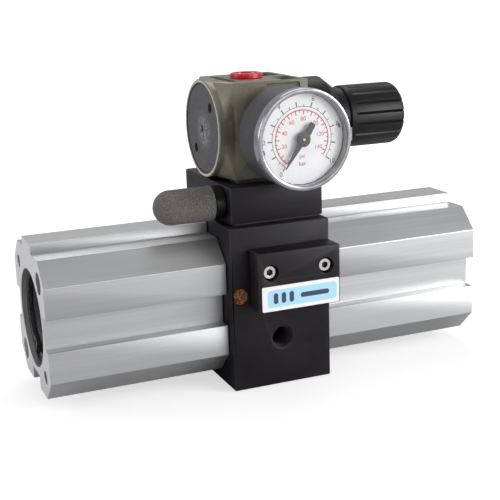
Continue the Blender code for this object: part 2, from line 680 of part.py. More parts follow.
def make_exhaust_filter():
    """Make the sintered disc pressed into the block's front."""
    depth = 3.0
    face = -BLOCK_FRONT - 0.1
    profile = [(0, face), (FILTER_RADIUS - 0.6, face), (FILTER_RADIUS, face - 0.5),
               (FILTER_RADIUS, face - depth), (0, face - depth)]
    turned("exhaust_filter", profile, (FILTER_X, 0, FILTER_HEIGHT), "-Y", BRONZE, 16)


# Manifold and silencer

def plate_with_holes(name, width, depth, thickness, centre, holes, material):
    """Make a thin flat gasket with round holes given as (x, y, radius)."""
    outlines = [rounded_rectangle(width, depth, 1.0, 2)]
    for x, y, radius in holes:
        outlines.append(ring_points(radius, SMALL_STEPS, (x - centre[0], y - centre[1])))
    return flat(name, outlines, thickness, centre, "+Z", material)


def make_manifold():
    """Make the manifold block, its gasket and its two screws."""
    x, y = MANIFOLD_CENTRE
    middle = MANIFOLD_BOTTOM + MANIFOLD_SIZE[2] / 2
    manifold = box("manifold_block", MANIFOLD_SIZE, (x, y, middle), BLACK, EDGE_BREAK)
    side = (MANIFOLD_LEFT, SILENCER_Y, SILENCER_HEIGHT)
    cut(manifold,
        hole("silencer_thread", SILENCER_THREAD_RADIUS + 0.2, 9.5, side, "+X", 16),
        hole("silencer_drilling", 2.8, -MANIFOLD_LEFT + EXHAUST_X + 2.5, side, "+X"),
        hole("manifold_exhaust", 2.0, SILENCER_HEIGHT - MANIFOLD_BOTTOM,
             (EXHAUST_X, EXHAUST_Y, MANIFOLD_BOTTOM), "+Z"),
        hole("manifold_feed", 4.0, MANIFOLD_SIZE[2] - 4, (0, REGULATOR_Y, MANIFOLD_TOP), "-Z"),
        hole("manifold_feed_offset", 2.8, 6.0, (0, FEED_Y + 1.0, MANIFOLD_BOTTOM), "+Z"))
    for index, (screw_x, screw_y) in enumerate(MANIFOLD_SCREWS):
        top = (screw_x, screw_y, MANIFOLD_TOP)
        cut(manifold,
            hole(f"manifold_pocket_{index}", 3.9, MANIFOLD_SCREW_POCKET, top, "-Z", 20),
            hole(f"manifold_hole_{index}", 2.3, MANIFOLD_SIZE[2] + 1, top, "-Z"))
        seat = (screw_x, screw_y, MANIFOLD_TOP - MANIFOLD_SCREW_POCKET + FINE_GAP)
        socket_screw(f"manifold_screw_{index + 1}", "M4", 18.0, seat, "+Z")
    holes = [(screw_x, screw_y, 2.5) for screw_x, screw_y in MANIFOLD_SCREWS]
    holes += [(EXHAUST_X, EXHAUST_Y, 2.4), (0, FEED_Y, 2.6)]
    plate_with_holes("manifold_gasket", MANIFOLD_SIZE[0] - 1.5, MANIFOLD_SIZE[1] - 1.5, 0.5,
                     (x, y, BLOCK_TOP + 0.35), holes, RUBBER)


def make_silencer():
    """Make the silencer: a threaded fitting and a domed porous element."""
    origin = (MANIFOLD_LEFT, SILENCER_Y, SILENCER_HEIGHT)
    collar = SILENCER_COLLAR_LENGTH
    fitting_profile = [(4.0, 12.0), (4.0, collar + GAP), (SILENCER_RADIUS - 0.2, collar + GAP),
                       (SILENCER_RADIUS - 0.2, GAP), (SILENCER_THREAD_RADIUS, GAP),
                       (SILENCER_THREAD_RADIUS, -8.0), (2.4, -8.0), (2.4, 12.0)]
    turned("silencer_fitting", fitting_profile, origin, "-X", BLACK_PLASTIC, INNER_STEPS, closed=True)
    start = collar + 2 * GAP
    tip = start + SILENCER_LENGTH
    dome = [(SILENCER_RADIUS * math.cos(math.radians(angle)),
             tip - SILENCER_RADIUS + SILENCER_RADIUS * math.sin(math.radians(angle)))
            for angle in range(90, -1, -18)]
    dome[0] = (0, tip)
    element = dome + [(SILENCER_RADIUS, start), (4.2, start), (4.2, tip - 8), (0, tip - 8)]
    turned("silencer_element", element, origin, "-X", SILENCER_GREY, INNER_STEPS)


# Regulator

def gusset(name):
    """Make the square body with its webs: the hull of a square prism and the circle behind its collar."""
    mesh = bpy.data.meshes.new(name)
    build = bmesh.new()
    circle = ring_points(REGULATOR_HALF, ROUND_STEPS)
    for across, up in circle:
        build.verts.new(Vector((across, up, GUSSET_START)) * MM)
    for level in (SQUARE_START, SQUARE_END):
        for across, up in ((1, 1), (-1, 1), (-1, -1), (1, -1)):
            corner = Vector((across * REGULATOR_HALF, up * REGULATOR_HALF, level))
            build.verts.new(corner * MM)
    bmesh.ops.convex_hull(build, input=build.verts)
    build.to_mesh(mesh)
    build.free()
    item = new_object(name, mesh, OLIVE)
    place(item, (0, REGULATOR_Y, REGULATOR_HEIGHT), "+X")
    return item


def make_regulator_body():
    """Make the regulator's body with its ports, chambers, pockets and window."""
    axis = (0, REGULATOR_Y, REGULATOR_HEIGHT)
    body = gusset("regulator_body")
    collar = turned("regulator_collar",
                    [(0, SQUARE_START - 1), (COLLAR_RADIUS, SQUARE_START - 1),
                     (COLLAR_RADIUS, COLLAR_END + 0.4), (COLLAR_RADIUS - 0.4, COLLAR_END), (0, COLLAR_END)],
                    axis, "+X")
    join(body, collar)
    y, height = REGULATOR_Y, REGULATOR_HEIGHT
    cut(body,
        hole("end_plug_bore", END_PLUG_RADIUS + 0.2, 5.2, (COLLAR_END, y, height), "+X", ROUND_STEPS),
        hole("inlet_chamber", 11.0, POPPET_SEAT - COLLAR_END, (COLLAR_END, y, height), "+X", 16),
        hole("seat_hole", 3.5, SQUARE_END - COLLAR_END, (COLLAR_END, y, height), "+X"),
        hole("outlet_chamber", 15.0, SQUARE_END - 8.5, (SQUARE_END, y, height), "-X", INNER_STEPS),
        hole("supply_port", SUPPLY_PORT_RADIUS, REGULATOR_HALF - 9.5, (0, y, REGULATOR_TOP), "-Z",
             INNER_STEPS),
        hole("outlet_port", SUPPLY_PORT_RADIUS, 6.2, (0, y, REGULATOR_BOTTOM), "+Z"),
        hole("gauge_port", 4.3, 9.0, (GAUGE_X, REGULATOR_FRONT, GAUGE_HEIGHT), "+Y"),
        box("outlet_link", (7.5, 5.0, 4.0), (6.75, y, REGULATOR_BOTTOM + 4.4)),
        box("front_window", (15.3, 2.0, 13.8), (7.65, REGULATOR_FRONT, REGULATOR_TOP - 7.8), bevel=0.9))
    pockets = ((-10.2, -2.3, 3.8, 24.0), (12.5, -12.0, 8.0, 15.0), (12.5, 7.3, 8.0, 15.0))
    for index, (x, pocket_y, width, depth) in enumerate(pockets):
        cut(body, box(f"top_pocket_{index}", (width, depth, 5.0), (x, pocket_y, REGULATOR_TOP), bevel=0.6))
    holes = [(0, REGULATOR_Y, SUPPLY_PORT_RADIUS)]
    centre = ((SQUARE_START + SQUARE_END) / 2, REGULATOR_Y, MANIFOLD_TOP + 0.7)
    plate_with_holes("regulator_gasket", SQUARE_END - SQUARE_START - 1, 2 * REGULATOR_HALF - 1, 1.2,
                     centre, holes, RUBBER)


def make_regulator_valve():
    """Make the end plug, the valve spring, the poppet and the diaphragm."""
    axis = (0, REGULATOR_Y, REGULATOR_HEIGHT)
    face = -COLLAR_END - 0.4
    inner = face - END_PLUG_THICKNESS
    profile = [(0, face + 0.3), (3.6, face + 0.3), (4.0, face), (END_PLUG_RADIUS - 0.4, face),
               (END_PLUG_RADIUS, face - 0.4), (END_PLUG_RADIUS, inner), (0, inner)]
    plug = turned("regulator_end_plug", profile, axis, "-X", PLUG_GREY)
    cut(plug, hole("end_plug_centre_hole", 1.4, 2.0, (-face - 0.3, REGULATOR_Y, REGULATOR_HEIGHT), "+X"))
    for sign in (-1, 1):
        point = (-face, REGULATOR_Y + sign * 8.8, REGULATOR_HEIGHT - sign * 9.0)
        cut(plug, hole(f"spanner_hole_{sign + 1}", 2.0, 2.4, point, "+X"))
    poppet_back = POPPET_SEAT - 6.0
    stem_end = BONNET_START - 1.5
    poppet = [(0, stem_end), (1.5, stem_end), (1.5, POPPET_SEAT - GAP), (5.5, POPPET_SEAT - GAP),
              (5.5, poppet_back), (0, poppet_back)]
    turned("regulator_poppet", poppet, axis, "+X", BRASS, SMALL_STEPS)
    spring_start = (-inner + 0.65, REGULATOR_Y, REGULATOR_HEIGHT)
    length = poppet_back - 0.65 - spring_start[0]
    wire("valve_spring", coil_points(4.3, length, 3, 10), 0.4, spring_start, "+X", STEEL)
    seat = BONNET_START - 0.1
    diaphragm = [(0, seat + 1.2), (8.0, seat + 1.2), (8.0, seat), (17.6, seat), (17.6, seat - 1.1),
                 (0, seat - 1.1)]
    turned("diaphragm", diaphragm, axis, "+X", RUBBER, INNER_STEPS)


def make_bonnet():
    """Make the bonnet with its hexagon cavity, the control spring and the spring seat nut."""
    axis = (0, REGULATOR_Y, REGULATOR_HEIGHT)
    bore = 5.1
    guide = 10.3
    neck = 12.6
    cavity = 12.4
    outline = [(guide, BONNET_END + 4.4), (guide, BONNET_END), (neck, BONNET_END), (neck, BONNET_CONE_END),
               (KNOB_RADIUS, BONNET_CONE_END), (BONNET_RADIUS, BONNET_CONE_START),
               (BONNET_RADIUS, BONNET_START), (bore, BONNET_START), (bore, BONNET_END + 4.4)]
    bonnet = turned("regulator_bonnet", outline, axis, "+X", BLACK_PLASTIC, closed=True)
    start = (BONNET_START, REGULATOR_Y, REGULATOR_HEIGHT)
    cut(bonnet,
        hole("diaphragm_recess", 15.5, 1.6, start, "+X", INNER_STEPS),
        hole("bonnet_cavity", cavity, CAVITY_END - BONNET_START, start, "+X", 6))
    nut_start = NUT_CENTRE - NUT_THICKNESS / 2
    nut = cylinder("spring_seat_nut", cavity - 0.4, NUT_THICKNESS, (nut_start, *axis[1:]), "+X", BRASS, 6)
    cut(nut, hole("nut_thread", SCREW_THREAD + 0.15, NUT_THICKNESS + 1, (nut_start, *axis[1:]), "+X"))
    spring_radius = 8.8
    spring_wire = 0.7
    spring_start = BONNET_START + 1.1 + spring_wire + FINE_GAP
    length = nut_start - spring_wire - FINE_GAP - spring_start
    wire("control_spring", coil_points(spring_radius, length, 3.5, 12), spring_wire,
         (spring_start, *axis[1:]), "+X", SPRING_STEEL)


def make_adjuster():
    """Make the adjusting screw and the knob that slides on its hexagon end."""
    axis = (0, REGULATOR_Y, REGULATOR_HEIGHT)
    shaft = 4.7
    flange = 7.5
    thread_end = 23.0
    shaft_end = 48.0
    hexagon = 4.4
    hexagon_end = 61.0
    profile = [(0, shaft_end), (shaft, shaft_end), (shaft, CAVITY_END - GAP), (flange, CAVITY_END - GAP),
               (flange, CAVITY_END - 1.4), (SCREW_THREAD, CAVITY_END - 1.4), (SCREW_THREAD, thread_end),
               (0, thread_end)]
    screw = turned("adjusting_screw", profile, axis, "+X", STEEL, 16)
    join(screw, cylinder("screw_hexagon", hexagon, hexagon_end - shaft_end + 1,
                         (shaft_end - 1, *axis[1:]), "+X", steps=6))
    cavity = 10.7
    cavity_end = 63.5
    boss = 6.8
    boss_start = 49.5
    bevel = 1.2
    outline = [(0, KNOB_END), (KNOB_RADIUS - bevel, KNOB_END), (KNOB_RADIUS, KNOB_END - bevel),
               (KNOB_RADIUS, KNOB_START + 0.5), (KNOB_RADIUS - 0.5, KNOB_START), (cavity, KNOB_START),
               (cavity, cavity_end), (boss, cavity_end), (boss, boss_start), (0, boss_start)]
    knob = turned("adjusting_knob", outline, axis, "+X", BLACK_PLASTIC, 2 * KNOB_FLUTES)
    cut(knob,
        hole("knob_socket", hexagon + 0.35, cavity_end - boss_start + 1, (boss_start, *axis[1:]), "+X", 6),
        knob_flutes())


def knob_flutes():
    """Make the cutter for the grooves round the knob: a ring of thin cylinders."""
    mesh = bpy.data.meshes.new("knob_flutes")
    build = bmesh.new()
    start = KNOB_START + 3.0
    length = KNOB_END + 1.0 - start
    for step in range(KNOB_FLUTES):
        turn = Matrix.Rotation(2 * math.pi * (step + 0.5) / KNOB_FLUTES, 4, "Z")
        shift = Matrix.Translation(Vector((KNOB_RADIUS + 0.35, 0, start + length / 2)) * MM)
        bmesh.ops.create_cone(build, cap_ends=True, segments=6, radius1=1.15 * MM, radius2=1.15 * MM,
                              depth=length * MM, matrix=turn @ shift)
    build.to_mesh(mesh)
    build.free()
    item = new_object("knob_flutes", mesh, None)
    place(item, (0, REGULATOR_Y, REGULATOR_HEIGHT), "+X")
    return item


def make_port_plug():
    """Make the plug pressed into the regulator's supply port."""
    floor = REGULATOR_TOP + FINE_GAP
    height = 2.1
    profile = [(0, height - 1), (4.4, height - 1), (4.6, height), (6.2, height), (6.7, height - 0.5),
               (6.7, 0), (5.6, 0), (5.4, -6), (4.2, -6), (4.2, -1.5), (0, -1.5)]
    turned("port_plug", profile, (0, REGULATOR_Y, floor), "+Z", RED, 24)


# Gauge: heights along its axis are distances in front of the XZ plane

def make_gauge():
    """Make the gauge's stem, case, window, dial, pointer and Bourdon tube."""
    origin = (GAUGE_X, 0, GAUGE_HEIGHT)
    back = -CASE_BACK
    stem = turned("gauge_stem",
                  [(1.6, back + 9), (5.1, back + 9), (5.1, 25.0), (4.1, 24.0), (4.1, 13.5), (1.6, 13.5)],
                  origin, "-Y", BRASS, 16, closed=True)
    hexagon = turned("stem_hexagon", [(8.1, 27.6), (8.1, 22.2), (3.0, 22.2), (3.0, 27.6)], origin, "-Y",
                     steps=6, closed=True)
    join(stem, hexagon)
    shoulder = -GAUGE_FRONT - WINDOW_SKIRT - 0.2
    ledge = -DIAL_FRONT - 0.8
    rim = 18.3
    case = [(rim, shoulder + 1.5), (rim, shoulder), (CASE_RADIUS, shoulder), (CASE_RADIUS, back + 2.0),
            (CASE_RADIUS - 0.6, back + 0.6), (CASE_RADIUS - 2.0, back), (5.4, back), (5.4, back + CASE_WALL),
            (16.4, back + CASE_WALL), (16.4, ledge), (17.7, ledge), (17.7, shoulder + 1.5)]
    turned("gauge_case", case, origin, "-Y", CASE_GREY, closed=True)
    front = -GAUGE_FRONT
    skirt = front - WINDOW_SKIRT + 0.1
    window = [(0, front - 0.3), (17.3, front - 0.3), (17.7, front), (GAUGE_RADIUS - 0.5, front),
              (GAUGE_RADIUS, front - 0.5), (GAUGE_RADIUS, skirt), (rim + 0.3, skirt),
              (rim + 0.3, front - 2.7), (17.0, front - 2.7), (17.0, front - 1.0), (0, front - 1.0)]
    turned("gauge_window", window, origin, "-Y", CLEAR)
    dial_front = -DIAL_FRONT
    dial = [(DIAL_RADIUS, dial_front), (DIAL_RADIUS, dial_front - 0.5), (1.3, dial_front - 0.5),
            (1.3, dial_front)]
    turned("gauge_dial", dial, origin, "-Y", DIAL_WHITE, 24, closed=True)
    make_pointer()
    make_bourdon_tube()


def pointer_outline():
    """Outline of the pointer with its tip along +X: hub, tapered tip and broad tail."""
    hub = 2.85
    tip = 13.4
    tail = 7.6
    tail_half = 1.7
    spread = math.degrees(math.asin(tail_half / hub))
    outline = [(tip, 0.15)]
    outline += arc_points(hub, 22, 180 - spread, 8)
    outline += [(-tail, tail_half), (-tail, -tail_half)]
    outline += arc_points(hub, 180 + spread, 338, 8)
    outline += [(tip, -0.15)]
    return outline


def make_pointer():
    """Make the pointer with its shaft, pointing at zero."""
    centre = (GAUGE_X, POINTER_BACK - POINTER_THICKNESS / 2, GAUGE_HEIGHT)
    pointer = flat("gauge_pointer", [pointer_outline()], POINTER_THICKNESS, centre, "-Y", POINTER_BLACK,
                   spin=POINTER_ZERO_DEG)
    shaft_back = 39.0
    shaft = cylinder("pointer_shaft", 0.9, -POINTER_BACK + POINTER_THICKNESS + 0.3 - shaft_back,
                     (GAUGE_X, -shaft_back, GAUGE_HEIGHT), "-Y", steps=16)
    join(pointer, shaft)


def make_bourdon_tube():
    """Make the curved tube that moves the pointer, with its lead from the stem."""
    arc = [(across, up, 0.0) for across, up in arc_points(12.0, -90, 160, 14)]
    lead = [(0.0, -6.4, 0.0), (0.0, -9.0, 0.0)]
    wire("bourdon_tube", lead + arc, 1.1, (GAUGE_X, CASE_BACK - 5.0, GAUGE_HEIGHT), "-Y", BRASS)


def main():
    """Build the whole booster."""
    make_centre_block()
    make_check_valves()
    for side, name in ((-1, "left"), (1, "right")):
        make_barrel(side, name)
        make_end_cap(side, name)
        make_retaining_ring(side, name)
        make_piston(side, name)
    make_rod()
    make_spool()
    make_valve_cover()
    make_exhaust_filter()
    make_manifold()
    make_silencer()
    make_regulator_body()
    make_regulator_valve()
    make_bonnet()
    make_adjuster()
    make_port_plug()
    make_gauge()


main()
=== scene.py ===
"""Looks of the twin-piston air pressure booster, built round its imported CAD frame.

Lengths in the constants are millimetres. Every piece keeps its mesh in the frame's own coordinates,
in metres, with its object at the origin, as the CAD nodes do.
"""
import json
import math

import bmesh
import bpy
from mathutils import Matrix, Vector


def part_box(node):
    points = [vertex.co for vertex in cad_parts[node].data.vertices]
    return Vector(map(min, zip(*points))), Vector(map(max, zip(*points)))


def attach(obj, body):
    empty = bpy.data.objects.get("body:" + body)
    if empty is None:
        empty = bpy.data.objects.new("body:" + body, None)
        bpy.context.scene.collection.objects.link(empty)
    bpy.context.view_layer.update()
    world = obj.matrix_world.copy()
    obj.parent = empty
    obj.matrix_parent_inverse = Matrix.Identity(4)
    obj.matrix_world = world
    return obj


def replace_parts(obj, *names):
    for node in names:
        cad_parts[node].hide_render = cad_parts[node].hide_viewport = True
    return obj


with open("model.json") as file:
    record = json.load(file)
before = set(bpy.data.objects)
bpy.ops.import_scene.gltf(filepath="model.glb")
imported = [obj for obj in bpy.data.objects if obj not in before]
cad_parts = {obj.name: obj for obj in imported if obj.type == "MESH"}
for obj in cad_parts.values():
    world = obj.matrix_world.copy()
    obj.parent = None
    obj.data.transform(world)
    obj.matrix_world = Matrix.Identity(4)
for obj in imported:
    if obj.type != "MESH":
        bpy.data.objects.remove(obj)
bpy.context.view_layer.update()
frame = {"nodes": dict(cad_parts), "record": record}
MM = 0.001
NODE_BODY = {node: body for body, nodes in frame["record"]["behaviour"]["bodies"].items() for node in nodes}
SLOT = {entry["node"]: entry["material_slot"] for entry in frame["record"]["subparts"]}

# Turns that lay a shape drawn along +Z along another axis
ALONG = {"-X": Matrix.Rotation(math.radians(-90), 4, "Y"), "-Y": Matrix.Rotation(math.radians(90), 4, "X")}

# Camera with a long lens, a little above and to the left of the front
CAMERA_PLACE = (-167.0, -406.0, 163.5)
CAMERA_TARGET = (0.27, 0.0, 49.14)
CAMERA_ROLL = -1.8             # degrees
CAMERA_LENS = 76.08
SENSOR_WIDTH = 36.0

# Lights: name, place, target, side of the square, and power in watts
LIGHTS = (
    ("key_left", (-700, 120, 300), (-20, 0, 50), 380, 2.2),
    ("top", (160, 420, 800), (0, 0, 40), 500, 2.3),
    ("front_right", (560, -520, 260), (40, 0, 50), 400, 4.7),
    ("front_low", (260, -900, 60), (20, 0, 40), 500, 1.9),
)
SKY_STRENGTH = 0.42

# Mesh work: angles in degrees, distances in metres
SHARP_ANGLE = 38.0             # edges sharper than this stay crisp in the shading and get rounded
FLAT_ANGLE = 0.6               # facets closer than this to one plane become one face
WELD = 0.000001
END_MARGIN = 0.0001            # how far a face may lie from an end and still count as part of it

# Width of the rounded edges on a node's skin, by the node's name without its side or number
ROUNDING = {
    "end_cap": 0.2, "retaining_ring": 0.12, "centre_block": 0.15, "manifold_block": 0.15,
    "valve_cover": 0.15, "silencer_fitting": 0.25, "regulator_end_plug": 0.2, "port_plug": 0.25,
    "gauge_stem": 0.15, "tie_bolt": 0.12, "manifold_screw": 0.12, "gauge_case": 0.3,
    "regulator_bonnet": 0.3, "name_label": 0.0,
}

# Dial: angles in degrees anticlockwise from +X as seen from the front, radii in millimetres
DIAL_ZERO = 235.0
DIAL_SPAN = 272.0
BAR_FULL = 10
PSI_PER_BAR = 14.504
BAR_ARC = 12.35
PSI_ARC = 11.0
POINTER_TIP = 13.3
POINTER_HUB = 2.85
POINTER_TAIL = 7.2

# Knob
KNOB_FLUTES = 18
FLUTE_STEPS = 16               # points round the knob for each flute
FLUTE_DEPTH = 0.85
FLUTE_HALF = 0.13              # half a flute's width, as a share of the pitch
KNOB_HOLLOW = 10.7             # radius of the hollow back
KNOB_TOP = 4.6                 # thickness of the end that closes the hollow

# Thread in the outlet port
THREAD_CREST = 3.95
THREAD_ROOT = 4.28
THREAD_HALF = 0.4              # half the ridge's width at its root
THREAD_PITCH = 0.907
THREAD_START = 1.3             # depth of the first crest
THREAD_TURNS = 9


# Measures

def polar(radius, angle):
    """A point at a radius and an angle in degrees."""
    return radius * math.cos(math.radians(angle)), radius * math.sin(math.radians(angle))


def centre_of(node):
    """Middle of a CAD node's box."""
    low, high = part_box(node)
    return (low + high) / 2


# Materials

class Surface:
    """A Principled material with texture nodes that read the piece's own coordinates, in metres."""

    def __init__(self, name, colour, roughness, metallic=0.0):
        self.material = bpy.data.materials.new(name)
        self.material.use_nodes = True
        self.nodes = self.material.node_tree.nodes
        self.links = self.material.node_tree.links
        self.shader = self.nodes["Principled BSDF"]
        self.set("Base Color", (*colour, 1.0))
        self.set("Roughness", roughness)
        self.set("Metallic", metallic)
        self.place = self.nodes.new("ShaderNodeTexCoord").outputs["Object"]

    def set(self, socket, value):
        """Set one of the shader's own sockets."""
        self.shader.inputs[socket].default_value = value

    def join(self, output, socket):
        """Drive one of the shader's sockets from a node."""
        self.links.new(output, self.shader.inputs[socket])

    def stretched(self, x, y, z):
        """The coordinates scaled along each axis."""
        mapping = self.nodes.new("ShaderNodeMapping")
        mapping.inputs["Scale"].default_value = (x, y, z)
        self.links.new(self.place, mapping.inputs["Vector"])
        return mapping.outputs["Vector"]

    def noise(self, scale, detail=4.0, roughness=0.55, where=None):
        """Noise of a given scale, where 1000 gives grains of about a millimetre."""
        texture = self.nodes.new("ShaderNodeTexNoise")
        texture.inputs["Scale"].default_value = scale
        texture.inputs["Detail"].default_value = detail
        texture.inputs["Roughness"].default_value = roughness
        self.links.new(where or self.place, texture.inputs["Vector"])
        return texture.outputs["Fac"]

    def span(self, value, from_low, from_high, to_low, to_high):
        """Map one range of values to another, clamped."""
        node = self.nodes.new("ShaderNodeMapRange")
        for socket, number in zip(("From Min", "From Max", "To Min", "To Max"),
                                  (from_low, from_high, to_low, to_high)):
            node.inputs[socket].default_value = number
        self.links.new(value, node.inputs["Value"])
        return node.outputs["Result"]

    def math(self, operation, first, second=0.0):
        """Combine a value with a number or another value, where the operation takes two."""
        node = self.nodes.new("ShaderNodeMath")
        node.operation = operation
        self.links.new(first, node.inputs[0])
        if isinstance(second, (int, float)):
            node.inputs[1].default_value = second
        else:
            self.links.new(second, node.inputs[1])
        return node.outputs["Value"]

    def blend(self, factor, first, second):
        """Mix two colours, each one a colour or an earlier output."""
        node = self.nodes.new("ShaderNodeMix")
        node.data_type = "RGBA"
        self.links.new(factor, node.inputs["Factor"])
        for socket, colour in ((node.inputs[6], first), (node.inputs[7], second)):
            if isinstance(colour, tuple):
                socket.default_value = (*colour, 1.0)
            else:
                self.links.new(colour, socket)
        return node.outputs[2]

    def bump(self, height, distance, strength=1.0, under=None):
        """Give the surface a relief, in metres, over an earlier one."""
        node = self.nodes.new("ShaderNodeBump")
        node.inputs["Distance"].default_value = distance
        node.inputs["Strength"].default_value = strength
        self.links.new(height, node.inputs["Height"])
        if under:
            self.links.new(under, node.inputs["Normal"])
        self.join(node.outputs["Normal"], "Normal")
        return node.outputs["Normal"]

    def square_faces(self):
        """1 on faces that lie square to an axis, falling to 0 on the rounded edges between them."""
        geometry = self.nodes.new("ShaderNodeNewGeometry")
        parts = self.nodes.new("ShaderNodeSeparateXYZ")
        self.links.new(geometry.outputs["Normal"], parts.inputs["Vector"])
        sizes = [self.math("ABSOLUTE", parts.outputs[axis]) for axis in "XYZ"]
        largest = self.math("MAXIMUM", self.math("MAXIMUM", sizes[0], sizes[1]), sizes[2])
        return self.span(largest, 0.90, 0.985, 0.0, 1.0)


def anodised_silver():
    """Clear anodised extrusion with fine die lines along X."""
    surface = Surface("silver_anodised", (0.60, 0.61, 0.62), 0.4, 0.85)
    lines = surface.noise(1.0, 5.0, 0.6, surface.stretched(9.0, 1900.0, 1900.0))
    broad = surface.noise(1.0, 3.0, where=surface.stretched(6.0, 160.0, 160.0))
    grain = surface.noise(5200.0, 2.0)
    tone = surface.math("ADD", surface.math("MULTIPLY", lines, 0.6), surface.math("MULTIPLY", broad, 0.4))
    shade = surface.span(tone, 0.3, 0.7, 0.0, 1.0)
    surface.join(surface.blend(shade, (0.52, 0.525, 0.535), (0.62, 0.622, 0.63)), "Base Color")
    surface.join(surface.span(lines, 0.3, 0.7, 0.36, 0.44), "Roughness")
    fine = surface.bump(lines, 0.00002, 0.35)
    surface.bump(grain, 0.00001, 0.25, fine)
    return surface.material


def sawn_aluminium():
    """The bright cut end of the extrusion, with arcs left by the saw."""
    surface = Surface("sawn_end", (0.80, 0.80, 0.82), 0.42, 0.55)
    arcs = surface.nodes.new("ShaderNodeTexWave")
    arcs.wave_type = "RINGS"
    arcs.rings_direction = "X"
    arcs.inputs["Scale"].default_value = 700.0
    arcs.inputs["Distortion"].default_value = 2.0
    arcs.inputs["Detail"].default_value = 3.0
    surface.links.new(surface.place, arcs.inputs["Vector"])
    specks = surface.noise(2200.0, 4.0)
    tone = surface.span(specks, 0.35, 0.65, 0.0, 1.0)
    surface.join(surface.blend(tone, (0.72, 0.72, 0.74), (0.86, 0.86, 0.88)), "Base Color")
    surface.bump(arcs.outputs["Fac"], 0.00002, 0.35)
    return surface.material


def anodised_black():
    """Milled and black anodised block, with cutter lines along X, and rounded edges made lighter by rubbing
    and a painted highlight.
    """
    surface = Surface("black_anodised", (0.02, 0.019, 0.021), 0.45)
    surface.set("Specular IOR Level", 0.22)
    lines = surface.noise(1.0, 4.0, 0.6, surface.stretched(60.0, 1500.0, 1500.0))
    dust = surface.noise(2600.0, 5.0, 0.7)
    cloud = surface.noise(90.0, 3.0)
    tone = surface.span(surface.math("ADD", lines, cloud), 0.7, 1.3, 0.0, 1.0)
    body = surface.blend(tone, (0.0075, 0.0058, 0.0085), (0.0135, 0.0108, 0.0145))
    spots = surface.span(dust, 0.66, 0.74, 0.0, 0.35)
    body = surface.blend(spots, body, (0.075, 0.072, 0.076))
    # Rounded edges get a paler colour: noise-broken rubbing, and a painted highlight along the edges
    scuffs = surface.span(surface.noise(420.0, 5.0, 0.75), 0.3, 0.7, 0.35, 1.0)
    flat = surface.square_faces()
    rubbed_and_highlit = surface.math("MULTIPLY", surface.span(flat, 0.0, 1.0, 1.0, 0.0), scuffs)
    surface.join(surface.blend(rubbed_and_highlit, body, (0.045, 0.043, 0.047)), "Base Color")
    surface.join(surface.span(lines, 0.3, 0.7, 0.38, 0.52), "Roughness")
    fine = surface.bump(lines, 0.00003, 0.5)
    surface.bump(dust, 0.00003, 0.3, fine)
    return surface.material


def bright_steel():
    """Zinc plated steel of the screws."""
    surface = Surface("bright_steel", (0.74, 0.73, 0.69), 0.24, 1.0)
    marks = surface.noise(900.0, 4.0, 0.6)
    tone = surface.span(marks, 0.35, 0.65, 0.0, 1.0)
    surface.join(surface.blend(tone, (0.66, 0.65, 0.60), (0.80, 0.79, 0.74)), "Base Color")
    surface.join(surface.span(marks, 0.3, 0.7, 0.2, 0.3), "Roughness")
    surface.bump(marks, 0.00001, 0.15)
    return surface.material


def ground_steel():
    """Ground rod and spool, with fine rings round X."""
    surface = Surface("ground_steel", (0.66, 0.66, 0.67), 0.18, 1.0)
    rings = surface.noise(1.0, 3.0, where=surface.stretched(3500.0, 20.0, 20.0))
    surface.join(surface.span(rings, 0.3, 0.7, 0.12, 0.26), "Roughness")
    surface.bump(rings, 0.00001, 0.4)
    return surface.material


def dark_spring_steel():
    """Phosphated spring steel."""
    surface = Surface("spring_steel", (0.11, 0.105, 0.11), 0.38, 0.9)
    mottle = surface.noise(900.0, 5.0)
    tone = surface.span(mottle, 0.35, 0.65, 0.0, 1.0)
    surface.join(surface.blend(tone, (0.075, 0.07, 0.075), (0.17, 0.165, 0.17)), "Base Color")
    surface.bump(mottle, 0.00002, 0.3)
    return surface.material


def grained(name, dark, light, roughness, grain=1800.0, relief=0.00003):
    """A matt or satin surface between two colours, with a fine grain."""
    surface = Surface(name, dark, roughness)
    texture = surface.noise(grain, 4.0, 0.6)
    cloud = surface.noise(140.0, 3.0)
    tone = surface.span(surface.math("ADD", texture, cloud), 0.75, 1.25, 0.0, 1.0)
    surface.join(surface.blend(tone, dark, light), "Base Color")
    surface.join(surface.span(texture, 0.3, 0.7, roughness - 0.06, roughness + 0.06), "Roughness")
    surface.bump(texture, relief, 0.4)
    return surface


def moulded(*look):
    """A plastic or rubber with a grained surface."""
    return grained(*look).material


def black_plastic():
    """Satin black plastic of the knob and the bonnet."""
    surface = grained("black_plastic", (0.004, 0.0037, 0.0045), (0.008, 0.0075, 0.009), 0.42)
    surface.set("Specular IOR Level", 0.25)
    return surface.material


def brass():
    """Bright turned brass."""
    surface = grained("brass", (0.52, 0.36, 0.13), (0.66, 0.48, 0.20), 0.28, 900.0)
    surface.set("Metallic", 1.0)
    return surface.material


def speckled_plug():
    """Glass-filled grey plastic of the end plug, rubbed pale round its centre hole."""
    outer_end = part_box("regulator_end_plug")[0].x
    middle = centre_of("regulator_end_plug")
    surface = Surface("speckled_plug", (0.11, 0.105, 0.115), 0.62)
    specks = surface.noise(1500.0, 6.0, 0.75)
    tone = surface.span(specks, 0.38, 0.66, 0.0, 1.0)
    body = surface.blend(tone, (0.055, 0.053, 0.059), (0.12, 0.116, 0.124))
    offset = surface.nodes.new("ShaderNodeVectorMath")
    offset.operation = "DISTANCE"
    surface.links.new(surface.place, offset.inputs[0])
    offset.inputs[1].default_value = (outer_end, middle.y - MM, middle.z - MM)
    near = surface.span(offset.outputs["Value"], 0.001, 0.009, 1.0, 0.0)
    worn = surface.span(surface.noise(700.0, 6.0, 0.75), 0.42, 0.62, 0.0, 1.0)
    pale = surface.math("MULTIPLY", near, worn)
    surface.join(surface.blend(pale, body, (0.42, 0.41, 0.43)), "Base Color")
    surface.bump(specks, 0.00008, 0.5)
    return surface.material


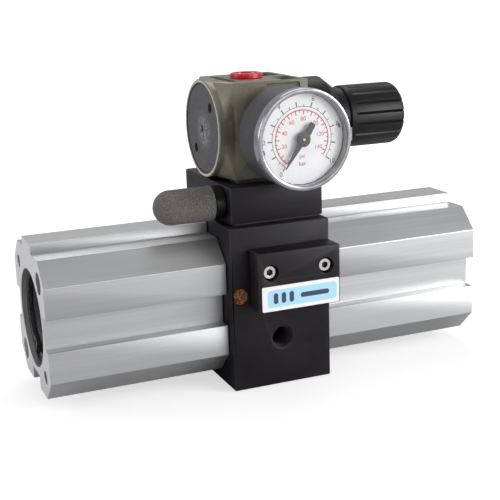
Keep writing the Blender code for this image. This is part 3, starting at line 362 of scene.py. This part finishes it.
def olive_paint():
    """Olive enamel on a die casting, with a painted highlight that makes the rounded edges a little paler.
    """
    surface = Surface("olive_paint", (0.24, 0.215, 0.16), 0.38)
    peel = surface.noise(1100.0, 3.0)
    cloud = surface.noise(120.0, 4.0)
    tone = surface.span(surface.math("ADD", peel, cloud), 0.7, 1.3, 0.0, 1.0)
    body = surface.blend(tone, (0.145, 0.128, 0.092), (0.20, 0.18, 0.136))
    # Painted highlight: rounded edges blend towards a paler olive
    painted_edge_highlight = surface.span(surface.square_faces(), 0.0, 1.0, 0.25, 0.0)
    surface.join(surface.blend(painted_edge_highlight, body, (0.34, 0.315, 0.25)), "Base Color")
    surface.join(surface.span(peel, 0.3, 0.7, 0.32, 0.44), "Roughness")
    surface.bump(peel, 0.00006, 0.35)
    surface.set("Coat Weight", 0.15)
    surface.set("Coat Roughness", 0.25)
    return surface.material


def bare_rim():
    """The machined rim of the casting, where it meets the end plug."""
    surface = grained("bare_rim", (0.50, 0.485, 0.42), (0.68, 0.66, 0.59), 0.42, 1400.0)
    surface.set("Metallic", 0.3)
    return surface.material


def sintered(name, dark, light, metallic, grain):
    """Sintered beads: a coarse pitted grain."""
    surface = Surface(name, dark, 0.85, metallic)
    beads = surface.nodes.new("ShaderNodeTexVoronoi")
    beads.inputs["Scale"].default_value = grain
    surface.links.new(surface.place, beads.inputs["Vector"])
    mottle = surface.noise(grain * 0.5, 5.0, 0.7)
    tone = surface.span(surface.math("ADD", beads.outputs["Distance"], mottle), 0.45, 1.25, 1.0, 0.0)
    surface.join(surface.blend(tone, dark, light), "Base Color")
    surface.bump(beads.outputs["Distance"], -0.00035, 0.8)
    return surface.material


def gloss_red():
    """Glossy red plastic of the transport plug."""
    surface = grained("red_plastic", (0.46, 0.010, 0.018), (0.60, 0.016, 0.026), 0.28, 700.0, 0.00002)
    surface.set("Coat Weight", 0.3)
    return surface.material


def bezel_plastic():
    """Clear moulded rim of the gauge, silvered by what lies behind it."""
    surface = grained("bezel", (0.25, 0.25, 0.275), (0.36, 0.36, 0.385), 0.22, 500.0, 0.00001)
    surface.set("Metallic", 0.5)
    surface.set("Coat Weight", 0.4)
    surface.set("Coat Roughness", 0.08)
    return surface.material


def lens_plastic():
    """Clear lens that shows more of the sky at a shallow angle."""
    surface = Surface("lens", (0.92, 0.93, 0.95), 0.05)
    weight = surface.nodes.new("ShaderNodeLayerWeight")
    weight.inputs["Blend"].default_value = 0.25
    smears = surface.noise(260.0, 3.0)
    surface.join(surface.span(smears, 0.3, 0.7, 0.03, 0.09), "Roughness")
    surface.join(surface.span(weight.outputs["Fresnel"], 0.0, 1.0, 0.035, 0.3), "Alpha")
    return surface.material


def printed(name, colour):
    """A printed ink, slightly uneven."""
    lighter = tuple(min(1.0, channel * 1.12 + 0.004) for channel in colour)
    return moulded(name, colour, lighter, 0.5, 2600.0, 0.00001)


def pale_paper(name, dark, light):
    """The white lacquer of the dial or the foil of the label."""
    return moulded(name, dark, light, 0.42, 1300.0, 0.00001)


MATERIALS = {
    "silver_anodised": anodised_silver(),
    "black_anodised": anodised_black(),
    "steel": bright_steel(),
    "spring_steel": dark_spring_steel(),
    "rubber": moulded("rubber", (0.012, 0.012, 0.012), (0.022, 0.022, 0.022), 0.66),
    "bearing_plastic": moulded("bearing_plastic", (0.17, 0.19, 0.21), (0.23, 0.25, 0.27), 0.5),
    "sintered_bronze": sintered("sintered_bronze", (0.12, 0.04, 0.012), (0.62, 0.30, 0.12), 0.2, 1100.0),
    "silencer_grain": sintered("silencer_grain", (0.10, 0.092, 0.08), (0.28, 0.26, 0.235), 0.0, 2500.0),
    "olive_paint": olive_paint(),
    "plug_plastic": speckled_plug(),
    "black_plastic": black_plastic(),
    "red_plastic": gloss_red(),
    "gauge_case_plastic": moulded("case_plastic", (0.040, 0.038, 0.043), (0.062, 0.060, 0.066), 0.5,
                                  2400.0),
    "clear_plastic": lens_plastic(),
    "dial_white": pale_paper("dial_white", (0.82, 0.82, 0.83), (0.90, 0.90, 0.91)),
    "pointer_black": moulded("pointer_black", (0.012, 0.012, 0.014), (0.02, 0.02, 0.023), 0.5),
    "brass": brass(),
    "label": pale_paper("label_foil", (0.86, 0.86, 0.85), (0.93, 0.93, 0.92)),
}
SAWN_END = sawn_aluminium()
BARE_RIM = bare_rim()
# Painted shade: a dark colour for the inside of screw sockets
SOCKET_SHADE = moulded("socket_shade", (0.03, 0.03, 0.032), (0.06, 0.06, 0.062), 0.45)
GROUND_STEEL = ground_steel()
BEZEL = bezel_plastic()
BAR_INK = printed("bar_ink", (0.03, 0.03, 0.05))
PSI_INK = printed("psi_ink", (0.62, 0.03, 0.08))
LABEL_BLUE = printed("label_blue", (0.40, 0.68, 0.90))
LABEL_NAVY = printed("label_navy", (0.03, 0.05, 0.10))


# Building helpers

def add_piece(name, mesh, material, body):
    """Link a mesh as a piece of the object that rides on a body."""
    piece = bpy.data.objects.new(name, mesh)
    bpy.context.scene.collection.objects.link(piece)
    mesh.materials.append(material)
    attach(piece, body)
    return piece


def shade_smooth(mesh, angle=SHARP_ANGLE):
    """Shade a mesh smooth between edges sharper than an angle."""
    mesh.shade_smooth()
    mesh.set_sharp_from_angle(angle=math.radians(angle))


def round_edges(piece, width):
    """Round a piece's sharp edges by a width in millimetres."""
    edge = piece.modifiers.new("round_edges", "BEVEL")
    edge.width = width * MM
    edge.segments = 2
    edge.angle_limit = math.radians(SHARP_ANGLE)
    edge.harden_normals = True


def skin(node, rounding):
    """Stand in for a CAD node with the same shape, welded, with whole faces and rounded edges."""
    mesh = frame["nodes"][node].data.copy()
    mesh.name = node + "_skin"
    clean = bmesh.new()
    clean.from_mesh(mesh)
    bmesh.ops.remove_doubles(clean, verts=clean.verts, dist=2 * WELD)
    bmesh.ops.dissolve_limit(clean, angle_limit=math.radians(FLAT_ANGLE), verts=clean.verts,
                             edges=clean.edges)
    clean.to_mesh(mesh)
    clean.free()
    mesh.materials.clear()
    piece = add_piece(node + "_skin", mesh, MATERIALS[SLOT[node]], NODE_BODY[node])
    shade_smooth(mesh)
    if rounding:
        round_edges(piece, rounding)
    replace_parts(piece, node)
    return piece


def turned(name, profile, origin, along, material, body, steps=96, closed=False):
    """Turn a profile of (radius, height) points, in millimetres, about an axis through origin."""
    mesh = bpy.data.meshes.new(name)
    build = bmesh.new()
    verts = [build.verts.new((radius * MM, 0.0, height * MM)) for radius, height in profile]
    edges = [build.edges.new(pair) for pair in zip(verts, verts[1:])]
    if closed:
        edges.append(build.edges.new((verts[-1], verts[0])))
    bmesh.ops.spin(build, geom=verts + edges, cent=(0, 0, 0), axis=(0, 0, 1), angle=2 * math.pi,
                   steps=steps, use_merge=True)
    bmesh.ops.remove_doubles(build, verts=build.verts, dist=WELD)
    bmesh.ops.recalc_face_normals(build, faces=build.faces)
    build.to_mesh(mesh)
    build.free()
    mesh.transform(Matrix.Translation(Vector(origin)) @ ALONG[along])
    shade_smooth(mesh, 30.0)
    return add_piece(name, mesh, material, body)


# CAD nodes and their skins

def finish_nodes():
    """Give every CAD node its material, and the visible ones a skin with rounded edges."""
    for node, item in frame["nodes"].items():
        item.data.materials.clear()
        item.data.materials.append(MATERIALS[SLOT[node]])
    for node in ("piston_rod", "changeover_spool"):
        frame["nodes"][node].data.materials[0] = GROUND_STEEL
    for node in frame["nodes"]:
        kind = node.rstrip("_12").removesuffix("_left").removesuffix("_right")
        if kind in ROUNDING:
            skin(node, ROUNDING[kind])


def paint_faces(piece, material, wanted):
    """Give a second material to the faces of a piece that a test picks."""
    piece.data.materials.append(material)
    for face in piece.data.polygons:
        if wanted(face):
            face.material_index = 1


def make_barrel_skins():
    """Silver barrels with bright sawn ends."""
    for node in ("barrel_left", "barrel_right"):
        piece = skin(node, 0.25)
        end = max(abs(corner.x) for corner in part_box(node)) - END_MARGIN
        paint_faces(piece, SAWN_END, lambda face, end=end: abs(face.center.x) > end)


def make_cover_screw_skins():
    """Cover screws with painted shade in their hex sockets."""
    socket = 0.0015
    for node in ("valve_cover_screw_1", "valve_cover_screw_2"):
        piece = skin(node, 0.12)
        centre = centre_of(node)
        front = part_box(node)[0].y + 2 * END_MARGIN
        paint_faces(piece, SOCKET_SHADE, lambda face, centre=centre, front=front: face.center.y > front
                    and math.hypot(face.center.x - centre.x, face.center.z - centre.z) < socket)


def make_regulator_skin():
    """Olive casting with the machined rim round the end plug."""
    piece = skin("regulator_body", 0.3)
    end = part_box("regulator_body")[0].x + END_MARGIN
    paint_faces(piece, BARE_RIM, lambda face: face.center.x < end)


# Camera, floor and light

def aim(item, place, target):
    """Place a light or camera and point it at a target."""
    item.location = [value * MM for value in place]
    direction = (Vector(target) - Vector(place)) * MM
    item.rotation_euler = direction.to_track_quat("-Z", "Y").to_euler()


def make_camera():
    """Camera at the photograph's angle."""
    camera = bpy.data.objects.new("camera", bpy.data.cameras.new("camera"))
    camera.data.lens = CAMERA_LENS
    camera.data.sensor_width = SENSOR_WIDTH
    camera.data.clip_start = 0.01
    camera.data.clip_end = 50.0
    bpy.context.scene.collection.objects.link(camera)
    aim(camera, CAMERA_PLACE, CAMERA_TARGET)
    roll = Matrix.Rotation(math.radians(CAMERA_ROLL), 4, "Z")
    camera.rotation_euler = (camera.rotation_euler.to_matrix().to_4x4() @ roll).to_euler()
    bpy.context.scene.camera = camera


def make_light(name, place, target, size, power):
    """A soft square light."""
    light = bpy.data.lights.new(name, "AREA")
    light.shape = "SQUARE"
    light.size = size * MM
    light.energy = power
    item = bpy.data.objects.new(name, light)
    bpy.context.scene.collection.objects.link(item)
    aim(item, place, target)


def floor_sweep():
    """Floor that looks white, more so with distance, but throws little light back up."""
    surface = grained("floor_white", (0.50, 0.50, 0.50), (0.52, 0.52, 0.52), 0.8, 30.0, 0.00001)
    surface.set("Specular IOR Level", 0.1)
    surface.set("Emission Color", (1.0, 1.0, 1.0, 1.0))
    distance = surface.nodes.new("ShaderNodeVectorMath")
    distance.operation = "LENGTH"
    surface.links.new(surface.place, distance.inputs[0])
    glow = surface.span(distance.outputs["Value"], 0.1, 0.7, 0.62, 1.0)
    seen = surface.nodes.new("ShaderNodeLightPath").outputs["Is Camera Ray"]
    surface.join(surface.math("MULTIPLY", glow, seen), "Emission Strength")
    return surface.material


def make_studio():
    """White floor and sky, with soft lights on the left, above and in front."""
    mesh = bpy.data.meshes.new("floor")
    build = bmesh.new()
    bmesh.ops.create_grid(build, x_segments=1, y_segments=1, size=15.0)
    build.to_mesh(mesh)
    build.free()
    floor = bpy.data.objects.new("floor", mesh)
    floor.location.z = -0.2 * MM
    mesh.materials.append(floor_sweep())
    bpy.context.scene.collection.objects.link(floor)
    world = bpy.data.worlds.new("studio")
    world.use_nodes = True
    sky = world.node_tree.nodes["Background"].inputs
    sky["Color"].default_value = (1.0, 1.0, 1.0, 1.0)
    sky["Strength"].default_value = SKY_STRENGTH
    bpy.context.scene.world = world
    for light in LIGHTS:
        make_light(*light)
    bpy.context.scene.view_settings.view_transform = "Standard"


# Gauge

def make_gauge():
    """Bezel, lens and snap tab, then the dial's print and the pointer."""
    low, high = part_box("gauge_window")
    origin = Vector(((low.x + high.x) / 2, 0.0, (low.z + high.z) / 2))
    front = -low.y / MM
    back = -high.y / MM
    radius = (high.x - low.x) / 2 / MM
    inner = radius - 2.1
    inside_wall = radius - 0.8
    ledge = front - 2.7
    rim = [(inner, front - 0.9), (inner + 0.1, front - 0.35), (inner + 0.6, front - 0.05),
           (inner + 0.95, front), (radius - 0.75, front), (radius - 0.3, front - 0.15),
           (radius - 0.05, front - 0.55), (radius, front - 1.2), (radius, back + 0.3), (radius - 0.2, back),
           (inside_wall, back), (inside_wall, ledge), (inner, ledge)]
    bezel = turned("gauge_bezel", rim, origin, "-Y", BEZEL, "housing", closed=True)
    lens = [(0, front - 0.25), (9.0, front - 0.3), (inner - 0.05, front - 0.5), (inner - 0.05, front - 1.0),
            (0, front - 0.95)]
    turned("gauge_lens", lens, origin, "-Y", MATERIALS["clear_plastic"], "housing")
    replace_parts(bezel, "gauge_window")
    snap = bpy.data.meshes.new("gauge_snap_tab")
    build = bmesh.new()
    bmesh.ops.create_cube(build, size=1.0)
    bmesh.ops.scale(build, vec=(0.0007, 0.0036, 0.0052), verts=build.verts)
    place = origin + Vector(((radius + 0.05) * MM, -(front - 2.2) * MM, 0.0006))
    bmesh.ops.translate(build, vec=place, verts=build.verts)
    build.to_mesh(snap)
    build.free()
    round_edges(add_piece("gauge_snap_tab", snap, BEZEL, "housing"), 0.25)
    make_dial(origin)
    make_pointer(origin)


def dial_sector(build, inner, outer, first, last, steps):
    """Add a flat sector of a ring, in the dial's plane, from one angle to another."""
    for step in range(steps):
        angles = [first + (last - first) * (step + end) / steps for end in (0, 1)]
        corners = [polar(inner, angles[0]), polar(outer, angles[0]), polar(outer, angles[1]),
                   polar(inner, angles[1])]
        build.faces.new([build.verts.new((x * MM, z * MM, 0.0)) for x, z in corners])


def dial_text(build, words, height, across, up):
    """Add text in the dial's plane, centred on a point."""
    curve = bpy.data.curves.new("dial_text", "FONT")
    curve.body = words
    curve.size = height * MM
    curve.align_x = "CENTER"
    curve.align_y = "CENTER"
    draft = bpy.data.objects.new("dial_text", curve)
    bpy.context.scene.collection.objects.link(draft)
    bpy.context.view_layer.update()
    mesh = bpy.data.meshes.new_from_object(draft.evaluated_get(bpy.context.evaluated_depsgraph_get()))
    bpy.data.objects.remove(draft)
    mesh.transform(Matrix.Translation((across * MM, up * MM, 0.0)))
    build.from_mesh(mesh)


def make_pointer(origin):
    """Pointer with a tapered needle and a blunt tail on its shaft, with a hub and a brass pin."""
    outline = [(POINTER_TIP, -0.14), (POINTER_TIP, 0.14)]
    outline += [polar(POINTER_HUB, angle) for angle in range(20, 156, 8)]
    outline += [(-POINTER_TAIL + 0.4, 1.25), (-POINTER_TAIL, 0.85), (-POINTER_TAIL, -0.85),
                (-POINTER_TAIL + 0.4, -1.25)]
    outline += [polar(POINTER_HUB, angle) for angle in range(205, 341, 8)]
    low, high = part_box("gauge_pointer")
    front = low.y + 0.0003
    build = bmesh.new()
    face = build.faces.new([build.verts.new((x * MM, z * MM, 0.0)) for x, z in outline])
    plate = bmesh.ops.extrude_face_region(build, geom=[face])
    lifted = [item for item in plate["geom"] if isinstance(item, bmesh.types.BMVert)]
    bmesh.ops.translate(build, vec=(0, 0, -0.0005), verts=lifted)
    bmesh.ops.create_cone(build, cap_ends=True, segments=32, radius1=0.0009, radius2=0.0009,
                          depth=high.y - front - 0.0001,
                          matrix=Matrix.Translation((0, 0, -(high.y - front) / 2 - 0.00005)))
    bmesh.ops.recalc_face_normals(build, faces=build.faces)
    mesh = bpy.data.meshes.new("pointer_skin")
    build.to_mesh(mesh)
    build.free()
    turn = Matrix.Rotation(math.radians(DIAL_ZERO), 4, "Z")
    mesh.transform(Matrix.Translation((origin.x, front, origin.z)) @ ALONG["-Y"] @ turn)
    shade_smooth(mesh)
    piece = add_piece("pointer_skin", mesh, MATERIALS["pointer_black"], "pointer")
    round_edges(piece, 0.08)
    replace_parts(piece, "gauge_pointer")
    pin = [(0, 0.0), (0.45, 0.0), (0.55, -0.1), (0.55, -0.5), (0, -0.5)]
    turned("pointer_pin", pin, (origin.x, low.y - 0.0001, origin.z), "-Y", MATERIALS["brass"], "pointer",
           24)
    hub = [(0, 0.12), (2.2, 0.12), (2.6, 0.0), (2.6, -0.1), (0, -0.1)]
    turned("pointer_hub", hub, (origin.x, front, origin.z), "-Y", MATERIALS["pointer_black"], "pointer", 48)


def finish_print(name, build, origin, height, material):
    """Lay a flat print a small height above a front face."""
    mesh = bpy.data.meshes.new(name)
    bmesh.ops.remove_doubles(build, verts=build.verts, dist=WELD / 2)
    build.to_mesh(mesh)
    build.free()
    mesh.transform(Matrix.Translation(origin + Vector((0, -height, 0))) @ ALONG["-Y"])
    return add_piece(name, mesh, material, "housing")


def make_dial(origin):
    """Dial scales: bar in black outside, psi in red inside."""
    bar = bmesh.new()
    tick_half = 0.9                # degrees
    film = 0.00004
    dial_sector(bar, BAR_ARC - 0.1, BAR_ARC + 0.1, DIAL_ZERO, DIAL_ZERO - DIAL_SPAN, 120)
    for half in range(2 * BAR_FULL + 1):
        angle = DIAL_ZERO - DIAL_SPAN * half / (2 * BAR_FULL)
        length, width = (1.9, tick_half) if half % 2 == 0 else (1.0, 0.6 * tick_half)
        dial_sector(bar, BAR_ARC, BAR_ARC + length, angle - width, angle + width, 1)
        if half % 4 == 0:
            dial_text(bar, str(half // 2), 2.5, *polar(BAR_ARC + 3.3, angle))
    dial_text(bar, "bar", 2.3, 0.0, -9.4)
    for angle in (14.0, 194.0):
        dial_sector(bar, 15.9, 16.7, angle - 3.0, angle + 3.0, 3)
    psi = bmesh.new()
    full = BAR_FULL * PSI_PER_BAR
    dial_sector(psi, PSI_ARC - 0.2, PSI_ARC + 0.2, DIAL_ZERO, DIAL_ZERO - DIAL_SPAN, 120)
    for five in range(int(full / 5) + 1):
        angle = DIAL_ZERO - DIAL_SPAN * 5 * five / full
        length, width = (1.7, 1.1) if five % 2 == 0 else (0.9, 0.8)
        dial_sector(psi, PSI_ARC - length, PSI_ARC, angle - width, angle + width, 1)
        if five % 4 == 0 and five:
            dial_text(psi, str(5 * five), 2.3, *polar(PSI_ARC - 3.3, angle))
    dial_text(psi, "psi", 2.3, 0.0, -6.5)
    dial_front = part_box("gauge_dial")[0].y
    face = Vector((origin.x, dial_front, origin.z))
    finish_print("dial_bar_scale", bar, face, film, BAR_INK)
    finish_print("dial_psi_scale", psi, face, film, PSI_INK)


# Adjusting knob

def make_knob():
    """Knob with shallow flutes that start behind a plain collar, a rounded end and a hollow back."""
    low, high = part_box("adjusting_knob")
    centre = centre_of("adjusting_knob")
    radius = (high.z - low.z) / 2 / MM
    length = (high.x - low.x) / MM
    around = FLUTE_STEPS * KNOB_FLUTES
    stations = [(0.0, KNOB_HOLLOW, 0.0), (0.0, radius - 0.5, 0.0), (0.5, radius - 0.1, 0.0),
                (2.6, radius, 0.0), (3.6, radius, 1.0), (length - 2.4, radius, 1.0),
                (length - 1.2, radius - 0.45, 0.85),
                (length - 0.35, radius - 1.3, 0.6), (length, radius - 2.6, 0.25),
                (length, radius - 3.6, 0.0), (length - 0.3, radius - 4.1, 0.0), (length - 0.3, 0.0, 0.0)]
    build = bmesh.new()
    rings = []
    for x, reach, share in stations:
        ring = []
        for step in range(around):
            angle = 2 * math.pi * step / around
            phase = step % FLUTE_STEPS / FLUTE_STEPS - 0.5
            dip = FLUTE_DEPTH * share * max(0.0, 1 - abs(phase) / FLUTE_HALF)
            across = max(reach - dip, 0.0) * MM
            ring.append(build.verts.new((low.x + x * MM, centre.y + across * math.cos(angle),
                                         centre.z + across * math.sin(angle))))
        rings.append(ring)
    inside = [build.verts.new((low.x + (length - KNOB_TOP) * MM, *vert.co.yz)) for vert in rings[0]]
    rings.insert(0, inside)
    for first, second in zip(rings, rings[1:]):
        for step in range(around):
            following = (step + 1) % around
            build.faces.new((first[step], first[following], second[following], second[step]))
    build.faces.new(inside)
    bmesh.ops.remove_doubles(build, verts=build.verts, dist=WELD)
    bmesh.ops.recalc_face_normals(build, faces=build.faces)
    mesh = bpy.data.meshes.new("knob_skin")
    build.to_mesh(mesh)
    build.free()
    shade_smooth(mesh, 24.0)
    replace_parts(add_piece("knob_skin", mesh, MATERIALS["black_plastic"], "knob"),
                "adjusting_knob")


# Silencer

def make_silencer():
    """Porous element: a domed tube with a rough, pitted surface."""
    low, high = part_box("silencer_element")
    centre = centre_of("silencer_element")
    radius = (high.z - low.z) / 2 / MM
    length = (high.x - low.x) / MM
    profile = [polar(radius, angle) for angle in range(90, -1, -5)]
    profile = [(across, length - radius + up) for across, up in profile]
    stations = 34
    straight = length - radius
    profile += [(radius, straight * (1 - step / stations)) for step in range(1, stations + 1)]
    profile += [(radius - 2.5, 0.0)]
    piece = turned("silencer_skin", profile, (high.x, centre.y, centre.z), "-X",
                   MATERIALS["silencer_grain"], "housing", 96)
    texture = bpy.data.textures.new("beads", "VORONOI")
    texture.noise_scale = 0.0009
    pits = piece.modifiers.new("pits", "DISPLACE")
    pits.texture = texture
    pits.texture_coords = "LOCAL"
    pits.strength = -0.00022
    pits.mid_level = 0.0
    piece.data.shade_smooth()
    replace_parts(piece, "silencer_element")


# Port thread and label

def make_port_thread():
    """Thread inside the outlet port: a helical ridge."""
    opening = frame["record"]["physics"]["openings"][0]["box_m"]
    middle = (Vector(opening[0]) + Vector(opening[1])) / 2
    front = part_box("centre_block")[0].y / MM
    steps = 36
    build = bmesh.new()
    rows = []
    for step in range(steps * THREAD_TURNS + 1):
        angle = 360.0 * step / steps
        depth = front + THREAD_START + THREAD_PITCH * step / steps
        row = []
        for reach, shift in ((THREAD_ROOT, -THREAD_HALF), (THREAD_CREST, 0.0), (THREAD_ROOT, THREAD_HALF)):
            across, up = polar(reach, angle)
            point = (middle.x + across * MM, (depth + shift) * MM, middle.z + up * MM)
            row.append(build.verts.new(point))
        rows.append(row)
    for first, second in zip(rows, rows[1:]):
        for side in (0, 1):
            build.faces.new((first[side], first[side + 1], second[side + 1], second[side]))
        build.faces.new((first[2], first[0], second[0], second[2]))
    build.faces.new(rows[0])
    build.faces.new(rows[-1])
    bmesh.ops.recalc_face_normals(build, faces=build.faces)
    mesh = bpy.data.meshes.new("port_thread")
    build.to_mesh(mesh)
    build.free()
    add_piece("port_thread", mesh, MATERIALS["black_anodised"], "housing")


def rounded_panel(build, width, height, radius, across, up):
    """Add a flat panel with round corners, in millimetres, about a point."""
    outline = []
    for side, level, first in ((1, 1, 0), (-1, 1, 90), (-1, -1, 180), (1, -1, 270)):
        corner_x = across + side * (width / 2 - radius)
        corner_y = up + level * (height / 2 - radius)
        for turn in range(0, 91, 15):
            x, y = polar(radius, first + turn)
            outline.append((corner_x + x, corner_y + y))
    build.faces.new([build.verts.new((x * MM, y * MM, 0.0)) for x, y in outline])


def make_label_print():
    """Plain print on the label: a pale blue field with three short bars and a long one."""
    low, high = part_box("name_label")
    middle = centre_of("name_label")
    width = (high.x - low.x) / MM
    height = (high.z - low.z) / MM
    face = Vector((middle.x, low.y, middle.z))
    field = bmesh.new()
    rounded_panel(field, width - 3.4, height - 3.0, 1.6, 0.6, 0.0)
    finish_print("label_field", field, face, 0.00003, LABEL_BLUE)
    marks = bmesh.new()
    rounded_panel(marks, 12.5, 2.0, 0.9, 6.0, 0.0)
    for shift in (-11.0, -7.6, -4.2):
        rounded_panel(marks, 1.9, 4.4, 0.9, shift, 0.0)
    finish_print("label_marks", marks, face, 0.00006, LABEL_NAVY)


finish_nodes()
make_barrel_skins()
make_cover_screw_skins()
make_regulator_skin()
make_gauge()
make_knob()
make_silencer()
make_port_thread()
make_label_print()
make_camera()
make_studio()
